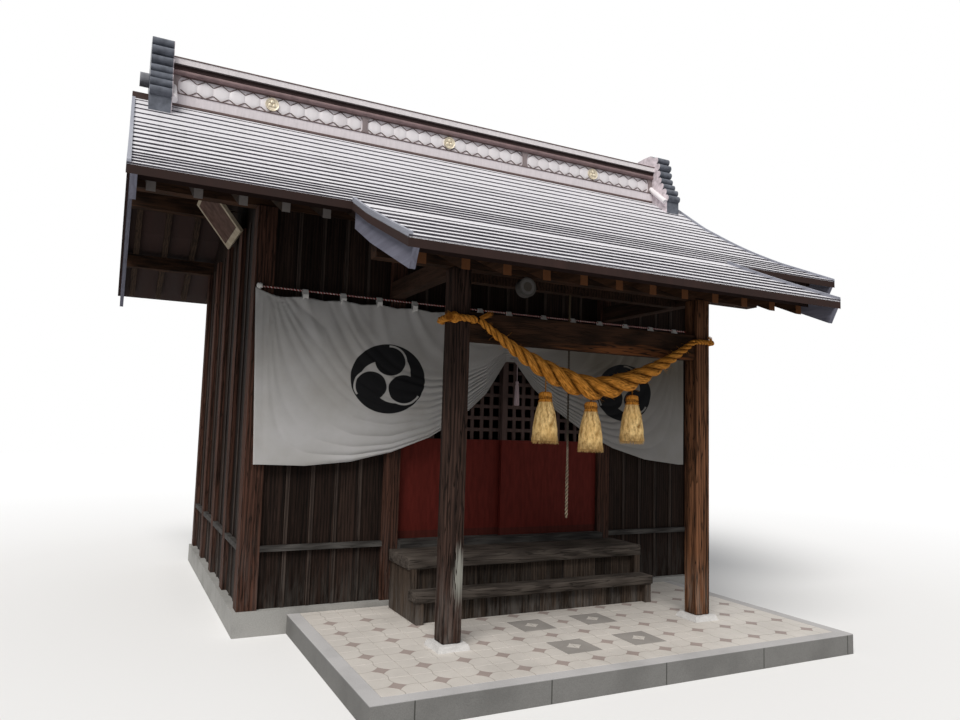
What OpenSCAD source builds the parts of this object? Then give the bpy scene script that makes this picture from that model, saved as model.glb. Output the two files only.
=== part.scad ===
// Shrine worship hall: a boarded timber hall with a front porch, under one long gabled roof that runs
// down over the porch. +X is to the right seen from the front, +Y runs from the porch into the hall and
// +Z is up. The origin is on the ground, under the middle of the roof's plan. All sizes are millimetres.

/* [Hall] */
// Width of the hall over its corner posts
hall_w = 4710; // [4500:10:5000]
// Depth of the hall over its corner posts
hall_d = 3446; // [3300:2:3600]
// Side of a square hall post
hall_post = 155; // [130:1:170]
// Height of the hall posts' tops above the ground
post_top_z = 3430; // [3400:5:3450]
// Thickness of the wall boards
wall_t = 40; // [30:1:50]
// How far the wall boards lie behind the faces of the posts
wall_inset = 40; // [25:1:50]
// Number of bays along each side wall
side_bays = 4; // [3:1:5]
// Height of the floor, and of the waist rail and the door sill, above the ground
floor_z = 685; // [660:1:700]
// Thickness of the floor boards
floor_t = 35; // [25:1:45]
// Side of a floor joist
joist = 90; // [75:1:105]
// Number of floor joists
joist_count = 5; // [4:1:7]
// Height of the waist rail
rail_h = 45; // [35:1:60]

/* [Plinth and platform] */
// Height of the concrete plinth above the ground
plinth_h = 190; // [180:1:230]
// How far the plinth reaches past the posts
plinth_margin = 28; // [15:1:40]
// How far the platform reaches past the porch posts at each side
platform_side = 758; // [600:1:850]
// Height of the porch platform above the ground
platform_h = 150; // [120:1:175]
// How far the platform reaches in front of the porch posts' centre line
platform_front = 825; // [700:5:840]
// Width of the kerb round the tiles
kerb_w = 100; // [80:1:150]
// Thickness of the floor tiles
tile_t = 20; // [12:1:30]

/* [Porch] */
// Distance between the centres of the porch posts
bay_w = 2270; // [2150:10:2400]
// Distance from the porch posts' centre line to the hall's front
porch_depth = 1290; // [1200:5:1350]
// Side of a square porch post
porch_post = 145; // [130:1:160]
// Width and depth of the mortar pad under a porch post
pad_w = 245; // [220:1:280]
// Height of that pad
pad_h = 40; // [25:1:50]
// Height of the porch purlin at its front face
purlin_h = 88; // [70:1:110]
// Width of the porch purlin
purlin_w = 120; // [100:1:135]
// Distance from the crossbeam's underside up to the purlin's underside
crossbeam_drop = 520; // [450:5:600]
// Depth of the crossbeam
crossbeam_h = 210; // [150:1:240]
// Thickness of the crossbeam
crossbeam_t = 100; // [80:1:120]
// How far the tie beams reach below the purlin
tie_drop = 30; // [20:1:70]
// Depth of a tie beam
tie_h = 140; // [110:1:150]
// Thickness of a tie beam
tie_t = 105; // [90:1:120]

/* [Roof] */
// How far the main roof reaches past the corner posts at each gable
gable_reach = 986; // [900:1:1050]
// How far the main roof reaches past the hall's front and back
eave_reach = 949; // [900:1:1000]
// Height of a wall plate at its outer face
plate_h = 93; // [70:1:120]
// Level run of the main slope's upper and steeper part
main_upper_run = 1296; // [1200:2:1400]
// Rise of that part over its level run
main_upper_slope = 0.752; // [0.73:0.001:0.77]
// Rise over run of the lower part
main_lower_slope = 0.444; // [0.435:0.001:0.45]
// How far the porch roof reaches in front of the porch posts' centre line
porch_eave_reach = 851; // [800:1:900]
// Run of the upper part of the porch slope
porch_upper_run = 391; // [300:1:450]
// Rise of the upper part of the porch slope for each unit of run
porch_upper_slope = 0.49; // [0.46:0.01:0.5]
// Rise of the lower part of the porch slope for each unit of run
porch_lower_slope = 0.42; // [0.41:0.01:0.43]
// How far the porch roof reaches past the porch posts at each side
porch_gable_reach = 645; // [560:1:700]
// Height of the roof's thin edge at the eaves and verges
edge_t = 60; // [45:1:70]
// Height of the roof boards with their furring behind that edge
roof_t = 125; // [110:1:130]
// How far the thin edge reaches past the rafters' ends
eave_lip = 250; // [180:1:280]
// Width of a rafter
rafter_w = 60; // [50:1:70]
// Height of a rafter
rafter_h = 70; // [60:1:75]
// Distance between the rafters' centres
rafter_pitch = 303; // [280:1:320]
// Width of the wall plates, purlins and ridge beam
roof_beam_w = 120; // [100:1:130]
// Depth of the purlins and the ridge beam
roof_beam_h = 130; // [110:1:150]
// Thickness of the bargeboards
barge_t = 40; // [30:1:50]
// Depth of the main bargeboards
barge_h = 180; // [150:1:200]
// Depth of the porch bargeboards
porch_barge_h = 140; // [120:1:160]
// How far the bargeboards lie inside the verge
barge_inset = 30; // [20:1:50]

/* [Ridge] */
// How far the ridge body stops short of the verges
ridge_inset = 341; // [300:1:400]
// Width of the ridge's base band
ridge_base_w = 350; // [320:2:380]
// Height of the base band over the slope at its face
ridge_band_h = 130; // [110:1:150]
// Width of the panel with the medallions
ridge_panel_w = 300; // [260:2:310]
// Height of that panel
ridge_panel_h = 190; // [170:1:210]
// Height of the mouldings over the panel
ridge_mould_h = 92; // [80:1:110]
// Width of the ridge's cap plank
ridge_cap_w = 430; // [400:2:460]
// Height of the cap plank
ridge_cap_h = 72; // [60:1:90]
// Thickness of the end ornaments along the ridge
end_t = 200; // [150:1:230]
// Diameter of a medallion
medallion_d = 138; // [110:1:150]
// Thickness of a medallion
medallion_t = 22; // [15:1:30]
// Distance between the medallions
medallion_pitch = 2030; // [1950:5:2100]

/* [Doors] */
// How far the door posts' centres stand in from the porch posts' centres
door_post_step = 20; // [10:1:30]
// Width of a door post
door_post = 140; // [120:1:160]
// Clear height from the sill to the lintel
door_h = 1755; // [1700:5:1780]
// Thickness of a door leaf
leaf_t = 35; // [30:1:38]
// Gap between a leaf and what it moves past
leaf_gap = 5; // [5:0.5:6]
// How far the closed leaves overlap in the middle
leaf_overlap = 60; // [40:1:80]
// How far the sill reaches in front of the posts
sill_lip = 90; // [70:1:110]
// Depth of the tracks in the sill
sill_groove = 15; // [10:1:20]
// Depth of the tracks in the lintel
lintel_groove = 25; // [20:1:30]
// Height of the lintel
lintel_h = 120; // [100:1:140]
// Height of the door sill
sill_h = 120; // [90:1:130]
// Height of the painted lower panel of a leaf
leaf_panel_h = 835; // [800:5:880]
// Width of a leaf's stiles and rails
stile_w = 55; // [45:1:70]
// Width of a lattice bar
bar_w = 32; // [28:1:40]
// Number of lattice openings across a leaf
lattice_cols = 10; // [8:1:11]
// Number of lattice openings up a leaf
lattice_rows = 8; // [7:1:9]
// Thickness of the lattice bars
bar_t = 22; // [15:1:28]

/* [Steps] */
// How far the treads reach past the door posts' centre lines
step_reach = 15; // [0:1:40]
// Depth of the upper tread
step_depth = 458; // [400:1:480]
// Height of the upper tread's top above the ground
step_z = 636; // [600:1:650]
// Thickness of the upper tread
step_t = 95; // [80:1:110]
// Depth of the lower tread
low_step_depth = 190; // [170:1:230]
// Height of the lower tread's top above the ground
low_step_z = 393; // [370:1:410]
// Thickness of the lower tread
low_step_t = 76; // [60:1:90]
// Thickness of the side boards under the treads
step_side_t = 60; // [45:1:70]
// Thickness of the riser boards
riser_t = 25; // [18:1:30]

/* [Rope and tassels] */
// Diameter of the straw rope at its middle
rope_mid_d = 185; // [150:1:190]
// Diameter of the straw rope at the posts
rope_end_d = 56; // [45:1:57]
// How far the rope's middle hangs below its ends
rope_sag = 442; // [400:1:480]
// Height of the rope's turns over the crossbeam's underside
rope_tie_rise = 148; // [100:1:170]
// Height of the rope's turns round a post
rope_tie_h = 64; // [58:1:75]
// Diameter of a tassel's lower end
tassel_d = 205; // [180:1:230]
// Length of a tassel's skirt
tassel_len = 330; // [300:5:350]
// Diameter of a tassel's head
tassel_head_d = 92; // [80:1:100]
// Height of a tassel's head
tassel_head_h = 56; // [45:1:65]
// Diameter of the string over a tassel
tassel_string_d = 12; // [8:1:16]

/* [Banner] */
// Depth of the space that the hanging cloth fills
banner_t = 56; // [40:1:60]
// Diameter of the cord that the cloth hangs on
cord_d = 26; // [22:1:30]
// Gap between that cord and the tie beams over it
cord_gap = 8; // [6:1:12]
// Length of a hanging loop
loop_h = 36; // [30:1:45]
// Width of a hanging loop
loop_w = 42; // [30:1:50]
// Distance between the hanging loops
loop_pitch = 325; // [300:1:326]

/* [Bell, lamp and plaque] */
// Diameter of the bell
bell_d = 180; // [150:1:200]
// How far the bell's centre hangs under its beam
bell_drop = 320; // [280:5:360]
// Distance from the bell to the porch posts' centre line
bell_y = 260; // [230:1:300]
// Diameter of the bell's pull rope
bell_rope_d = 26; // [20:1:30]
// Side of the beam that carries the bell
bell_beam_s = 90; // [80:1:105]
// Diameter of the porch lamp
lamp_d = 146; // [130:1:160]
// Depth of the porch lamp
lamp_t = 60; // [50:1:75]
// Distance from the hall's front to the middle of the framed plaque
plaque_back = 1180; // [1100:5:1250]
// Distance from the plaque's foot up to the hall posts' tops
plaque_drop = 30; // [20:5:60]
// Length of the framed plaque on the left wall
plaque_w = 800; // [700:5:900]
// Height of the framed plaque
plaque_h = 520; // [450:5:560]
// Thickness of the plaque
plaque_t = 28; // [20:1:35]
// Lean of the plaque's face from upright
plaque_lean = 38; // [30:1:42]

/* [Hidden] */
$fn = 48;

// A hair's gap where a round or soft piece lies against its neighbour
hair = 0.3;
// How far the parts of one fused piece run into each other
fuse = 5;
// The gap left between a sloping face and the piece that lies along it
seat_gap = 0.1;

// The door's clear width, the roof's plan and the heights that its slopes start from
door_w = bay_w - 2 * door_post_step - door_post;
roof_len = hall_w + 2 * gable_reach;
main_run = hall_d / 2 + eave_reach;
porch_run = porch_depth + porch_eave_reach - eave_reach;
porch_roof_len = bay_w + porch_post + 2 * porch_gable_reach;
plate_run = (hall_d - hall_post + roof_beam_w) / 2;
apex_z = post_top_z + plate_h + rafter_h + roof_t + main_upper_run * main_upper_slope
    + (plate_run - main_upper_run) * main_lower_slope;

// Places along Y
front_eave_y = -(porch_run + 2 * main_run) / 2;
main_eave_y = front_eave_y + porch_run;
ridge_y = main_eave_y + main_run;
hall_front_y = ridge_y - hall_d / 2;
hall_back_y = ridge_y + hall_d / 2;
post_line_y = hall_front_y - porch_depth;
plinth_front_y = hall_front_y - plinth_margin;
front_posts_y = hall_front_y + hall_post / 2;
back_posts_y = hall_back_y - hall_post / 2;
side_step = (back_posts_y - front_posts_y) / side_bays;

// Places along X
corner_x = hall_w / 2 - hall_post / 2;
door_post_x = door_w / 2 + door_post / 2;
porch_x = bay_w / 2;

// Heights of the roof's upper surface over a place along Y
porch_knee_y = main_eave_y - porch_upper_run;
main_knee_y = ridge_y - main_upper_run;
main_back_knee_y = ridge_y + main_upper_run;
main_knee_z = apex_z - main_upper_run * main_upper_slope;
main_eave_z = main_knee_z - (main_run - main_upper_run) * main_lower_slope;
porch_knee_z = main_eave_z - porch_upper_run * porch_upper_slope;
function main_z(y) = let (run = abs(y - ridge_y))
    apex_z - min(run, main_upper_run) * main_upper_slope - max(run - main_upper_run, 0) * main_lower_slope;
function porch_z(y) = y > porch_knee_y
    ? main_eave_z - (main_eave_y - y) * porch_upper_slope
    : porch_knee_z - (porch_knee_y - y) * porch_lower_slope;
function roof_z(y) = y < main_eave_y ? porch_z(y) : main_z(y);
function rafter_top(y) = roof_z(y) - roof_t - seat_gap;
function rafter_foot(y) = rafter_top(y) - rafter_h;
function beam_top(y) = rafter_foot(y) - seat_gap;

// An outline in the Y and Z plane, made as long as len along X about its middle
module along_x(len, x = 0) {
    translate([x - len / 2, 0, 0])
        rotate([90, 0, 90])
            linear_extrude(len) children();
}

// A box given by its lowest corner and its highest corner
module block(low, high) {
    translate(low) cube(high - low);
}

// Both sides of the hall
module both_sides() {
    children();
    mirror([1, 0, 0]) children();
}

// A post on its centre
module post(x, y, side_x, side_y, foot, top) {
    translate([x - side_x / 2, y - side_y / 2, foot])
        cube([side_x, side_y, top - foot]);
}

// Platform, tiles, pads and plinth
platform_front_y = post_line_y - platform_front;
platform_w = bay_w + porch_post + 2 * platform_side;

module porch_platform() {
    color("gray")
        difference() {
            block([-platform_w / 2, platform_front_y, 0], [platform_w / 2, plinth_front_y, platform_h]);
            block([-platform_w / 2 + kerb_w, platform_front_y + kerb_w, platform_h - tile_t],
                [platform_w / 2 - kerb_w, plinth_front_y + 1, platform_h + 1]);
        }
}

module porch_tiles() {
    color("tan")
        block([-platform_w / 2 + kerb_w, platform_front_y + kerb_w, platform_h - tile_t],
            [platform_w / 2 - kerb_w, plinth_front_y, platform_h]);
}

module post_pads() {
    color("gainsboro")
        both_sides()
            post(porch_x, post_line_y, pad_w, pad_w, platform_h, platform_h + pad_h);
}

module plinth() {
    color("darkgray")
        block([-hall_w / 2 - plinth_margin, plinth_front_y, 0],
            [hall_w / 2 + plinth_margin, hall_back_y + plinth_margin, plinth_h]);
}

// Porch frame
purlin_front_y = post_line_y - purlin_w / 2;
purlin_back_y = post_line_y + purlin_w / 2;
purlin_z = rafter_foot(purlin_front_y) - purlin_h;
crossbeam_z = purlin_z - crossbeam_drop;
tie_z = purlin_z - tie_drop;

module porch_posts() {
    color("saddlebrown")
        both_sides()
            post(porch_x, post_line_y, porch_post, porch_post, platform_h + pad_h, purlin_z);
}

module porch_crossbeam() {
    color("sienna")
        block([-porch_x + porch_post / 2, post_line_y - crossbeam_t / 2, crossbeam_z],
            [porch_x - porch_post / 2, post_line_y + crossbeam_t / 2, crossbeam_z + crossbeam_h]);
}

post_back_y = post_line_y + porch_post / 2;
bell_line_y = post_line_y + bell_y;

// The tie beams run back from the posts to the hall, with the bell's beam between them
module porch_tie_beams() {
    color("saddlebrown")
        union() {
            both_sides()
                along_x(tie_t, porch_x)
                    polygon([[post_back_y, tie_z], [hall_front_y, tie_z], [hall_front_y, tie_z + tie_h],
                        [purlin_back_y, tie_z + tie_h], [purlin_back_y, purlin_z], [post_back_y, purlin_z]]);
            block([-porch_x, bell_line_y - bell_beam_s / 2, tie_z],
                [porch_x, bell_line_y + bell_beam_s / 2, tie_z + bell_beam_s]);
        }
}

porch_frame_len = porch_roof_len - 2 * (barge_inset + barge_t);

module porch_purlin() {
    color("saddlebrown")
        along_x(porch_frame_len)
            polygon([[purlin_front_y, purlin_z], [purlin_back_y, purlin_z],
                [purlin_back_y, beam_top(purlin_back_y)],
                [purlin_front_y, beam_top(purlin_back_y) - purlin_w * porch_upper_slope]]);
}

// A rafter under the porch slope
porch_rafter_front_y = front_eave_y + eave_lip;
main_rafter_front_y = main_eave_y + eave_lip;
porch_rafter_ys = [porch_rafter_front_y, porch_knee_y, main_eave_y, main_rafter_front_y];

module porch_rafters() {
    count = floor((porch_frame_len / 2 - rafter_w) / rafter_pitch + 0.5);
    color("peru")
        both_sides()
            for (i = [0 : count - 1])
                along_x(rafter_w, (i + 0.5) * rafter_pitch)
                    polygon(concat([for (y = porch_rafter_ys) [y, rafter_top(y)]],
                        [for (i = [3 : -1 : 0]) [porch_rafter_ys[i], rafter_foot(porch_rafter_ys[i])]]));
}

// The porch roof: a thin upper layer that reaches the eave and both verges, over a thicker body that
// tucks under the main roof's thin edge
module porch_roof() {
    color("slategray") {
        union() {
            along_x(porch_roof_len)
                polygon([[main_eave_y, main_eave_z], [main_eave_y, main_eave_z - edge_t],
                    [porch_knee_y, porch_knee_z - edge_t], [front_eave_y, porch_z(front_eave_y) - edge_t],
                    [front_eave_y, porch_z(front_eave_y)], [porch_knee_y, porch_knee_z]]);
            along_x(porch_frame_len)
                polygon([[main_rafter_front_y, main_z(main_rafter_front_y) - edge_t],
                    [main_rafter_front_y, main_z(main_rafter_front_y) - roof_t],
                    [main_eave_y, main_eave_z - roof_t], [porch_knee_y, porch_knee_z - roof_t],
                    [porch_rafter_front_y, porch_z(porch_rafter_front_y) - roof_t],
                    [porch_rafter_front_y, porch_z(porch_rafter_front_y) - edge_t + fuse],
                    [porch_knee_y, porch_knee_z - edge_t + fuse], [main_eave_y, main_eave_z - edge_t + fuse],
                    [main_eave_y, main_eave_z - edge_t]]);
        }
    }
}

porch_barge_x = porch_roof_len / 2 - barge_inset - barge_t / 2;

module porch_bargeboards() {
    drop = edge_t + porch_barge_h;
    toe_y = front_eave_y + porch_barge_h * porch_lower_slope;
    color("lightslategray")
        both_sides()
            along_x(barge_t, porch_barge_x)
                polygon([[main_eave_y, main_eave_z - edge_t], [main_eave_y, main_eave_z - drop],
                    [porch_knee_y, porch_knee_z - drop], [toe_y, porch_z(toe_y) - drop],
                    [front_eave_y, porch_z(front_eave_y) - edge_t], [porch_knee_y, porch_knee_z - edge_t]]);
}

// Hall frame
module hall_posts() {
    color("saddlebrown")
        both_sides() {
            for (i = [0 : side_bays])
                post(corner_x, front_posts_y + i * side_step, hall_post, hall_post, plinth_h, post_top_z);
            post(door_post_x, back_posts_y, door_post, hall_post, plinth_h, post_top_z);
        }
}

module door_posts() {
    color("saddlebrown")
        both_sides()
            post(door_post_x, front_posts_y, door_post, hall_post, plinth_h, post_top_z);
}

// A boarded wall between two posts, split by the waist rail that it stands on and under
wall_front_y = hall_front_y + wall_inset;
wall_back_y = hall_back_y - wall_inset;
wall_side_x = hall_w / 2 - wall_inset;
rail_foot_z = floor_z - rail_h;

module front_panels(x0, x1, y0) {
    block([x0, y0, plinth_h], [x1, y0 + wall_t, rail_foot_z]);
    block([x0, y0, floor_z], [x1, y0 + wall_t, post_top_z]);
}

corner_in_x = corner_x - hall_post / 2;
door_post_out_x = door_post_x + door_post / 2;
door_post_in_x = door_post_x - door_post / 2;

module front_walls() {
    color("dimgray")
        both_sides()
            front_panels(door_post_out_x, corner_in_x, wall_front_y);
}

lintel_foot_z = floor_z + door_h;
lintel_top_z = lintel_foot_z + lintel_h;

module front_wall_over_door() {
    color("dimgray")
        block([-door_post_in_x, wall_front_y, lintel_top_z],
            [door_post_in_x, wall_front_y + wall_t, post_top_z]);
}

module side_walls() {
    color("dimgray")
        both_sides()
            for (i = [0 : side_bays - 1]) {
                y0 = front_posts_y + i * side_step + hall_post / 2;
                y1 = y0 + side_step - hall_post;
                block([wall_side_x - wall_t, y0, plinth_h], [wall_side_x, y1, rail_foot_z]);
                block([wall_side_x - wall_t, y0, floor_z], [wall_side_x, y1, post_top_z]);
            }
}

module rear_wall() {
    y0 = wall_back_y - wall_t;
    color("dimgray") {
        front_panels(-corner_in_x, -door_post_out_x, y0);
        front_panels(-door_post_in_x, door_post_in_x, y0);
        front_panels(door_post_out_x, corner_in_x, y0);
    }
}

// The waist rail, flush with the posts, from post to post round the hall
rail_depth = wall_inset + wall_t + 15;

module waist_rails() {
    color("gray") {
        both_sides() {
            block([door_post_out_x, hall_front_y, rail_foot_z],
                [corner_in_x, hall_front_y + rail_depth, floor_z]);
            block([door_post_out_x, hall_back_y - rail_depth, rail_foot_z],
                [corner_in_x, hall_back_y, floor_z]);
            for (i = [0 : side_bays - 1]) {
                y0 = front_posts_y + i * side_step + hall_post / 2;
                block([hall_w / 2 - rail_depth, y0, rail_foot_z],
                    [hall_w / 2, y0 + side_step - hall_post, floor_z]);
            }
        }
        block([-door_post_in_x, hall_back_y - rail_depth, rail_foot_z],
            [door_post_in_x, hall_back_y, floor_z]);
    }
}

// Wall plates, purlins and the ridge beam, which run out past the gables to the bargeboards
roof_frame_len = roof_len - 2 * (barge_inset + barge_t);
plate_ys = [front_posts_y, back_posts_y];
mid_purlin_run = (ridge_y - front_posts_y) / 2;
purlin_ys = [ridge_y - mid_purlin_run, ridge_y + mid_purlin_run];

module plate_outline(y, foot) {
    y0 = y - roof_beam_w / 2;
    y1 = y + roof_beam_w / 2;
    polygon([[y0, foot], [y1, foot], [y1, beam_top(y1)], [y0, beam_top(y0)]]);
}

module ridge_beam_outline() {
    y0 = ridge_y - roof_beam_w / 2;
    y1 = ridge_y + roof_beam_w / 2;
    polygon([[y0, ridge_beam_foot_z], [y1, ridge_beam_foot_z], [y1, beam_top(y1)],
        [ridge_y, beam_top(ridge_y)], [y0, beam_top(y0)]]);
}

purlin_foot_z = rafter_foot(purlin_ys[0]) - roof_beam_h;
ridge_beam_foot_z = rafter_foot(ridge_y - roof_beam_w / 2) - roof_beam_h;

module roof_beams() {
    color("saddlebrown")
        along_x(roof_frame_len) {
            for (y = plate_ys)
                plate_outline(y, post_top_z);
            for (y = purlin_ys)
                plate_outline(y, purlin_foot_z);
            ridge_beam_outline();
        }
}

// Gable walls over the side walls, notched over the purlins and the ridge beam
module notch(y, foot) {
    translate([y - roof_beam_w / 2, foot]) square([roof_beam_w, 3 * roof_beam_h]);
}

module gable_walls() {
    y0 = front_posts_y + roof_beam_w / 2;
    y1 = back_posts_y - roof_beam_w / 2;
    color("dimgray")
        both_sides()
            along_x(wall_t, wall_side_x - wall_t / 2)
                difference() {
                    polygon([[y0, post_top_z], [y1, post_top_z], [y1, beam_top(y1)],
                        [main_back_knee_y, beam_top(main_back_knee_y)], [ridge_y, beam_top(ridge_y)],
                        [main_knee_y, beam_top(main_knee_y)], [y0, beam_top(y0)]]);
                    for (y = purlin_ys)
                        notch(y, purlin_foot_z);
                    notch(ridge_y, ridge_beam_foot_z);
                }
}

// Floor
floor_in_x = hall_w / 2 - hall_post;
floor_y0 = hall_front_y + hall_post;
floor_y1 = hall_back_y - hall_post;

module hall_floor() {
    color("burlywood")
        block([-floor_in_x, floor_y0, floor_z - floor_t], [floor_in_x, floor_y1, floor_z]);
}

joist_step = (floor_y1 - floor_y0 - joist) / (joist_count - 1);
joist_ys = [for (i = [0 : joist_count - 1]) floor_y0 + joist / 2 + i * joist_step];
joist_foot_z = floor_z - floor_t - joist;

module floor_joists() {
    color("saddlebrown")
        for (y = joist_ys)
            block([-floor_in_x, y - joist / 2, joist_foot_z],
                [floor_in_x, y + joist / 2, floor_z - floor_t]);
}

module floor_posts() {
    color("saddlebrown")
        for (y = joist_ys, x = [-floor_in_x + joist / 2, 0, floor_in_x - joist / 2])
            post(x, y, joist, joist, plinth_h, joist_foot_z);
}

// Door frame: the outer track carries the right leaf and the inner track the left one
sill_front_y = hall_front_y - sill_lip;
lintel_front_y = hall_front_y + 10;
frame_back_y = hall_front_y + hall_post;
track_w = leaf_t + 2 * leaf_gap;
outer_leaf_y = lintel_front_y + 18 + track_w / 2;
inner_leaf_y = outer_leaf_y + track_w + 12;

module tracks(z0, z1) {
    for (y = [outer_leaf_y, inner_leaf_y])
        block([-door_w / 2 - 1, y - track_w / 2, z0], [door_w / 2 + 1, y + track_w / 2, z1]);
}

module door_frame() {
    color("gray") {
        difference() {
            block([-door_w / 2, sill_front_y, floor_z - sill_h], [door_w / 2, frame_back_y, floor_z]);
            tracks(floor_z - sill_groove, floor_z + 1);
        }
        difference() {
            block([-door_w / 2, lintel_front_y, lintel_foot_z],
                [door_w / 2, frame_back_y, lintel_top_z]);
            tracks(lintel_foot_z - 1, lintel_foot_z + lintel_groove);
        }
    }
}

// A door leaf, closed against its post: a painted lower panel under a lattice of square openings
leaf_w = door_w / 2 - leaf_gap + leaf_overlap / 2;
leaf_foot_z = floor_z - sill_groove + hair;
leaf_top_z = lintel_foot_z + lintel_groove - 2 * leaf_gap;
leaf_h = leaf_top_z - leaf_foot_z;

module leaf() {
    lattice_w = leaf_w - 2 * stile_w;
    lattice_h = leaf_h - leaf_panel_h - 2 * stile_w;
    cell_w = (lattice_w - (lattice_cols - 1) * bar_w) / lattice_cols;
    cell_h = (lattice_h - (lattice_rows - 1) * bar_w) / lattice_rows;
    rotate([90, 0, 0])
        difference() {
            translate([0, 0, -leaf_t / 2]) linear_extrude(leaf_t) square([leaf_w, leaf_h]);
            translate([stile_w, leaf_panel_h + stile_w, bar_t / 2 - leaf_t / 2 + 6])
                cube([lattice_w, lattice_h, leaf_t]);
            for (i = [0 : lattice_cols - 1], j = [0 : lattice_rows - 1])
                translate([stile_w + i * (cell_w + bar_w), leaf_panel_h + stile_w + j * (cell_h + bar_w),
                    -leaf_t])
                    cube([cell_w, cell_h, 2 * leaf_t]);
        }
}

module door_left() {
    color("firebrick") translate([-door_w / 2 + leaf_gap, inner_leaf_y, leaf_foot_z]) leaf();
}

module door_right() {
    color("firebrick") translate([door_w / 2 - leaf_gap - leaf_w, outer_leaf_y, leaf_foot_z]) leaf();
}

// Steps up to the door
step_len = bay_w + 2 * step_reach;
step_back_y = sill_front_y;
step_front_y = step_back_y - step_depth;
low_step_front_y = step_front_y + 14 - low_step_depth;
step_side_x = step_len / 2 - 15;

module step_treads() {
    color("dimgray") {
        block([-step_len / 2, step_front_y, step_z - step_t], [step_len / 2, step_back_y, step_z]);
        block([-step_len / 2, low_step_front_y, low_step_z - low_step_t],
            [step_len / 2, step_front_y, low_step_z]);
    }
}

// Two side boards, cut as steps, with the boarded risers let into them
module step_supports() {
    x = step_side_x - step_side_t / 2;
    color("gray")
        union() {
            both_sides()
                along_x(step_side_t, x)
                    polygon([[low_step_front_y + 15, platform_h], [step_back_y, platform_h],
                        [step_back_y, step_z - step_t], [step_front_y, step_z - step_t],
                        [step_front_y, low_step_z - low_step_t],
                        [low_step_front_y + 15, low_step_z - low_step_t]]);
            block([-x, step_front_y + 60, platform_h], [x, step_front_y + 60 + riser_t, step_z - step_t]);
            block([-x, low_step_front_y + 70, platform_h],
                [x, low_step_front_y + 70 + riser_t, low_step_z - low_step_t]);
        }
}

// Main roof: one slope, with its thin edge at the eave and both verges
module main_slope_front() {
    union() {
        along_x(roof_len)
            polygon([[ridge_y, apex_z], [ridge_y, apex_z - edge_t], [main_knee_y, main_knee_z - edge_t],
                [main_eave_y, main_eave_z - edge_t], [main_eave_y, main_eave_z],
                [main_knee_y, main_knee_z]]);
        along_x(roof_frame_len)
            polygon([[ridge_y, apex_z - edge_t + fuse], [ridge_y, apex_z - roof_t],
                [main_knee_y, main_knee_z - roof_t],
                [main_rafter_front_y, main_z(main_rafter_front_y) - roof_t],
                [main_rafter_front_y, main_z(main_rafter_front_y) - edge_t + fuse],
                [main_knee_y, main_knee_z - edge_t + fuse]]);
    }
}

module mirror_over_ridge() {
    translate([0, 2 * ridge_y, 0])
        mirror([0, 1, 0]) children();
}

module main_roof_front() {
    color("slategray") main_slope_front();
}

module main_roof_rear() {
    color("slategray") mirror_over_ridge() main_slope_front();
}

main_rafter_ys = [main_rafter_front_y, main_knee_y, ridge_y - hair];

module front_slope_rafters() {
    count = floor((roof_frame_len / 2 - rafter_w / 2) / rafter_pitch + 0.5);
    both_sides()
        for (i = [0 : count - 1])
            along_x(rafter_w, (i + 0.5) * rafter_pitch)
                polygon(concat([for (y = main_rafter_ys) [y, rafter_foot(y)]],
                    [for (i = [2 : -1 : 0]) [main_rafter_ys[i], rafter_top(main_rafter_ys[i])]]));
}

module main_rafters() {
    color("peru") {
        front_slope_rafters();
        mirror_over_ridge() front_slope_rafters();
    }
}

barge_x = roof_len / 2 - barge_inset - barge_t / 2;

module gable_bargeboards() {
    drop = edge_t + barge_h;
    toe_y = main_eave_y + barge_h * main_lower_slope;
    color("darkslategray")
        both_sides()
            along_x(barge_t, barge_x)
                polygon([[ridge_y, apex_z - edge_t], [main_knee_y, main_knee_z - edge_t],
                    [main_eave_y, main_eave_z - edge_t], [toe_y, main_z(toe_y) - drop],
                    [main_knee_y, main_knee_z - drop], [ridge_y, apex_z - drop],
                    [main_back_knee_y, main_knee_z - drop], [2 * ridge_y - toe_y, main_z(toe_y) - drop],
                    [2 * ridge_y - main_eave_y, main_eave_z - edge_t],
                    [main_back_knee_y, main_knee_z - edge_t]]);
}

// Ridge: base band and panel, then mouldings and the cap plank
ridge_half = roof_len / 2 - ridge_inset;
ridge_base_z = main_z(ridge_y - ridge_base_w / 2) + ridge_band_h;
ridge_panel_z = ridge_base_z + ridge_panel_h;
ridge_mould_z = ridge_panel_z + ridge_mould_h;

module ridge_step(width, z0, z1) {
    translate([ridge_y - width / 2, z0]) square([width, z1 - z0]);
}

module ridge_body() {
    base = ridge_base_w / 2;
    panel = ridge_panel_w / 2;
    color("rosybrown")
        along_x(2 * ridge_half)
            polygon([[ridge_y, apex_z + seat_gap], [ridge_y - base, main_z(ridge_y - base) + seat_gap],
                [ridge_y - base, ridge_base_z], [ridge_y - panel, ridge_base_z],
                [ridge_y - panel, ridge_panel_z], [ridge_y + panel, ridge_panel_z],
                [ridge_y + panel, ridge_base_z], [ridge_y + base, ridge_base_z],
                [ridge_y + base, main_z(ridge_y + base) + seat_gap]]);
}

module ridge_cap() {
    color("lightgray")
        along_x(2 * ridge_half)
            union() {
                ridge_step(ridge_base_w + 20, ridge_panel_z, ridge_panel_z + 0.35 * ridge_mould_h);
                ridge_step(ridge_panel_w + 20, ridge_panel_z, ridge_panel_z + 0.6 * ridge_mould_h);
                ridge_step(ridge_base_w + 30, ridge_panel_z + 0.6 * ridge_mould_h, ridge_mould_z);
                ridge_step(ridge_cap_w, ridge_mould_z, ridge_mould_z + ridge_cap_h);
            }
}

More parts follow.
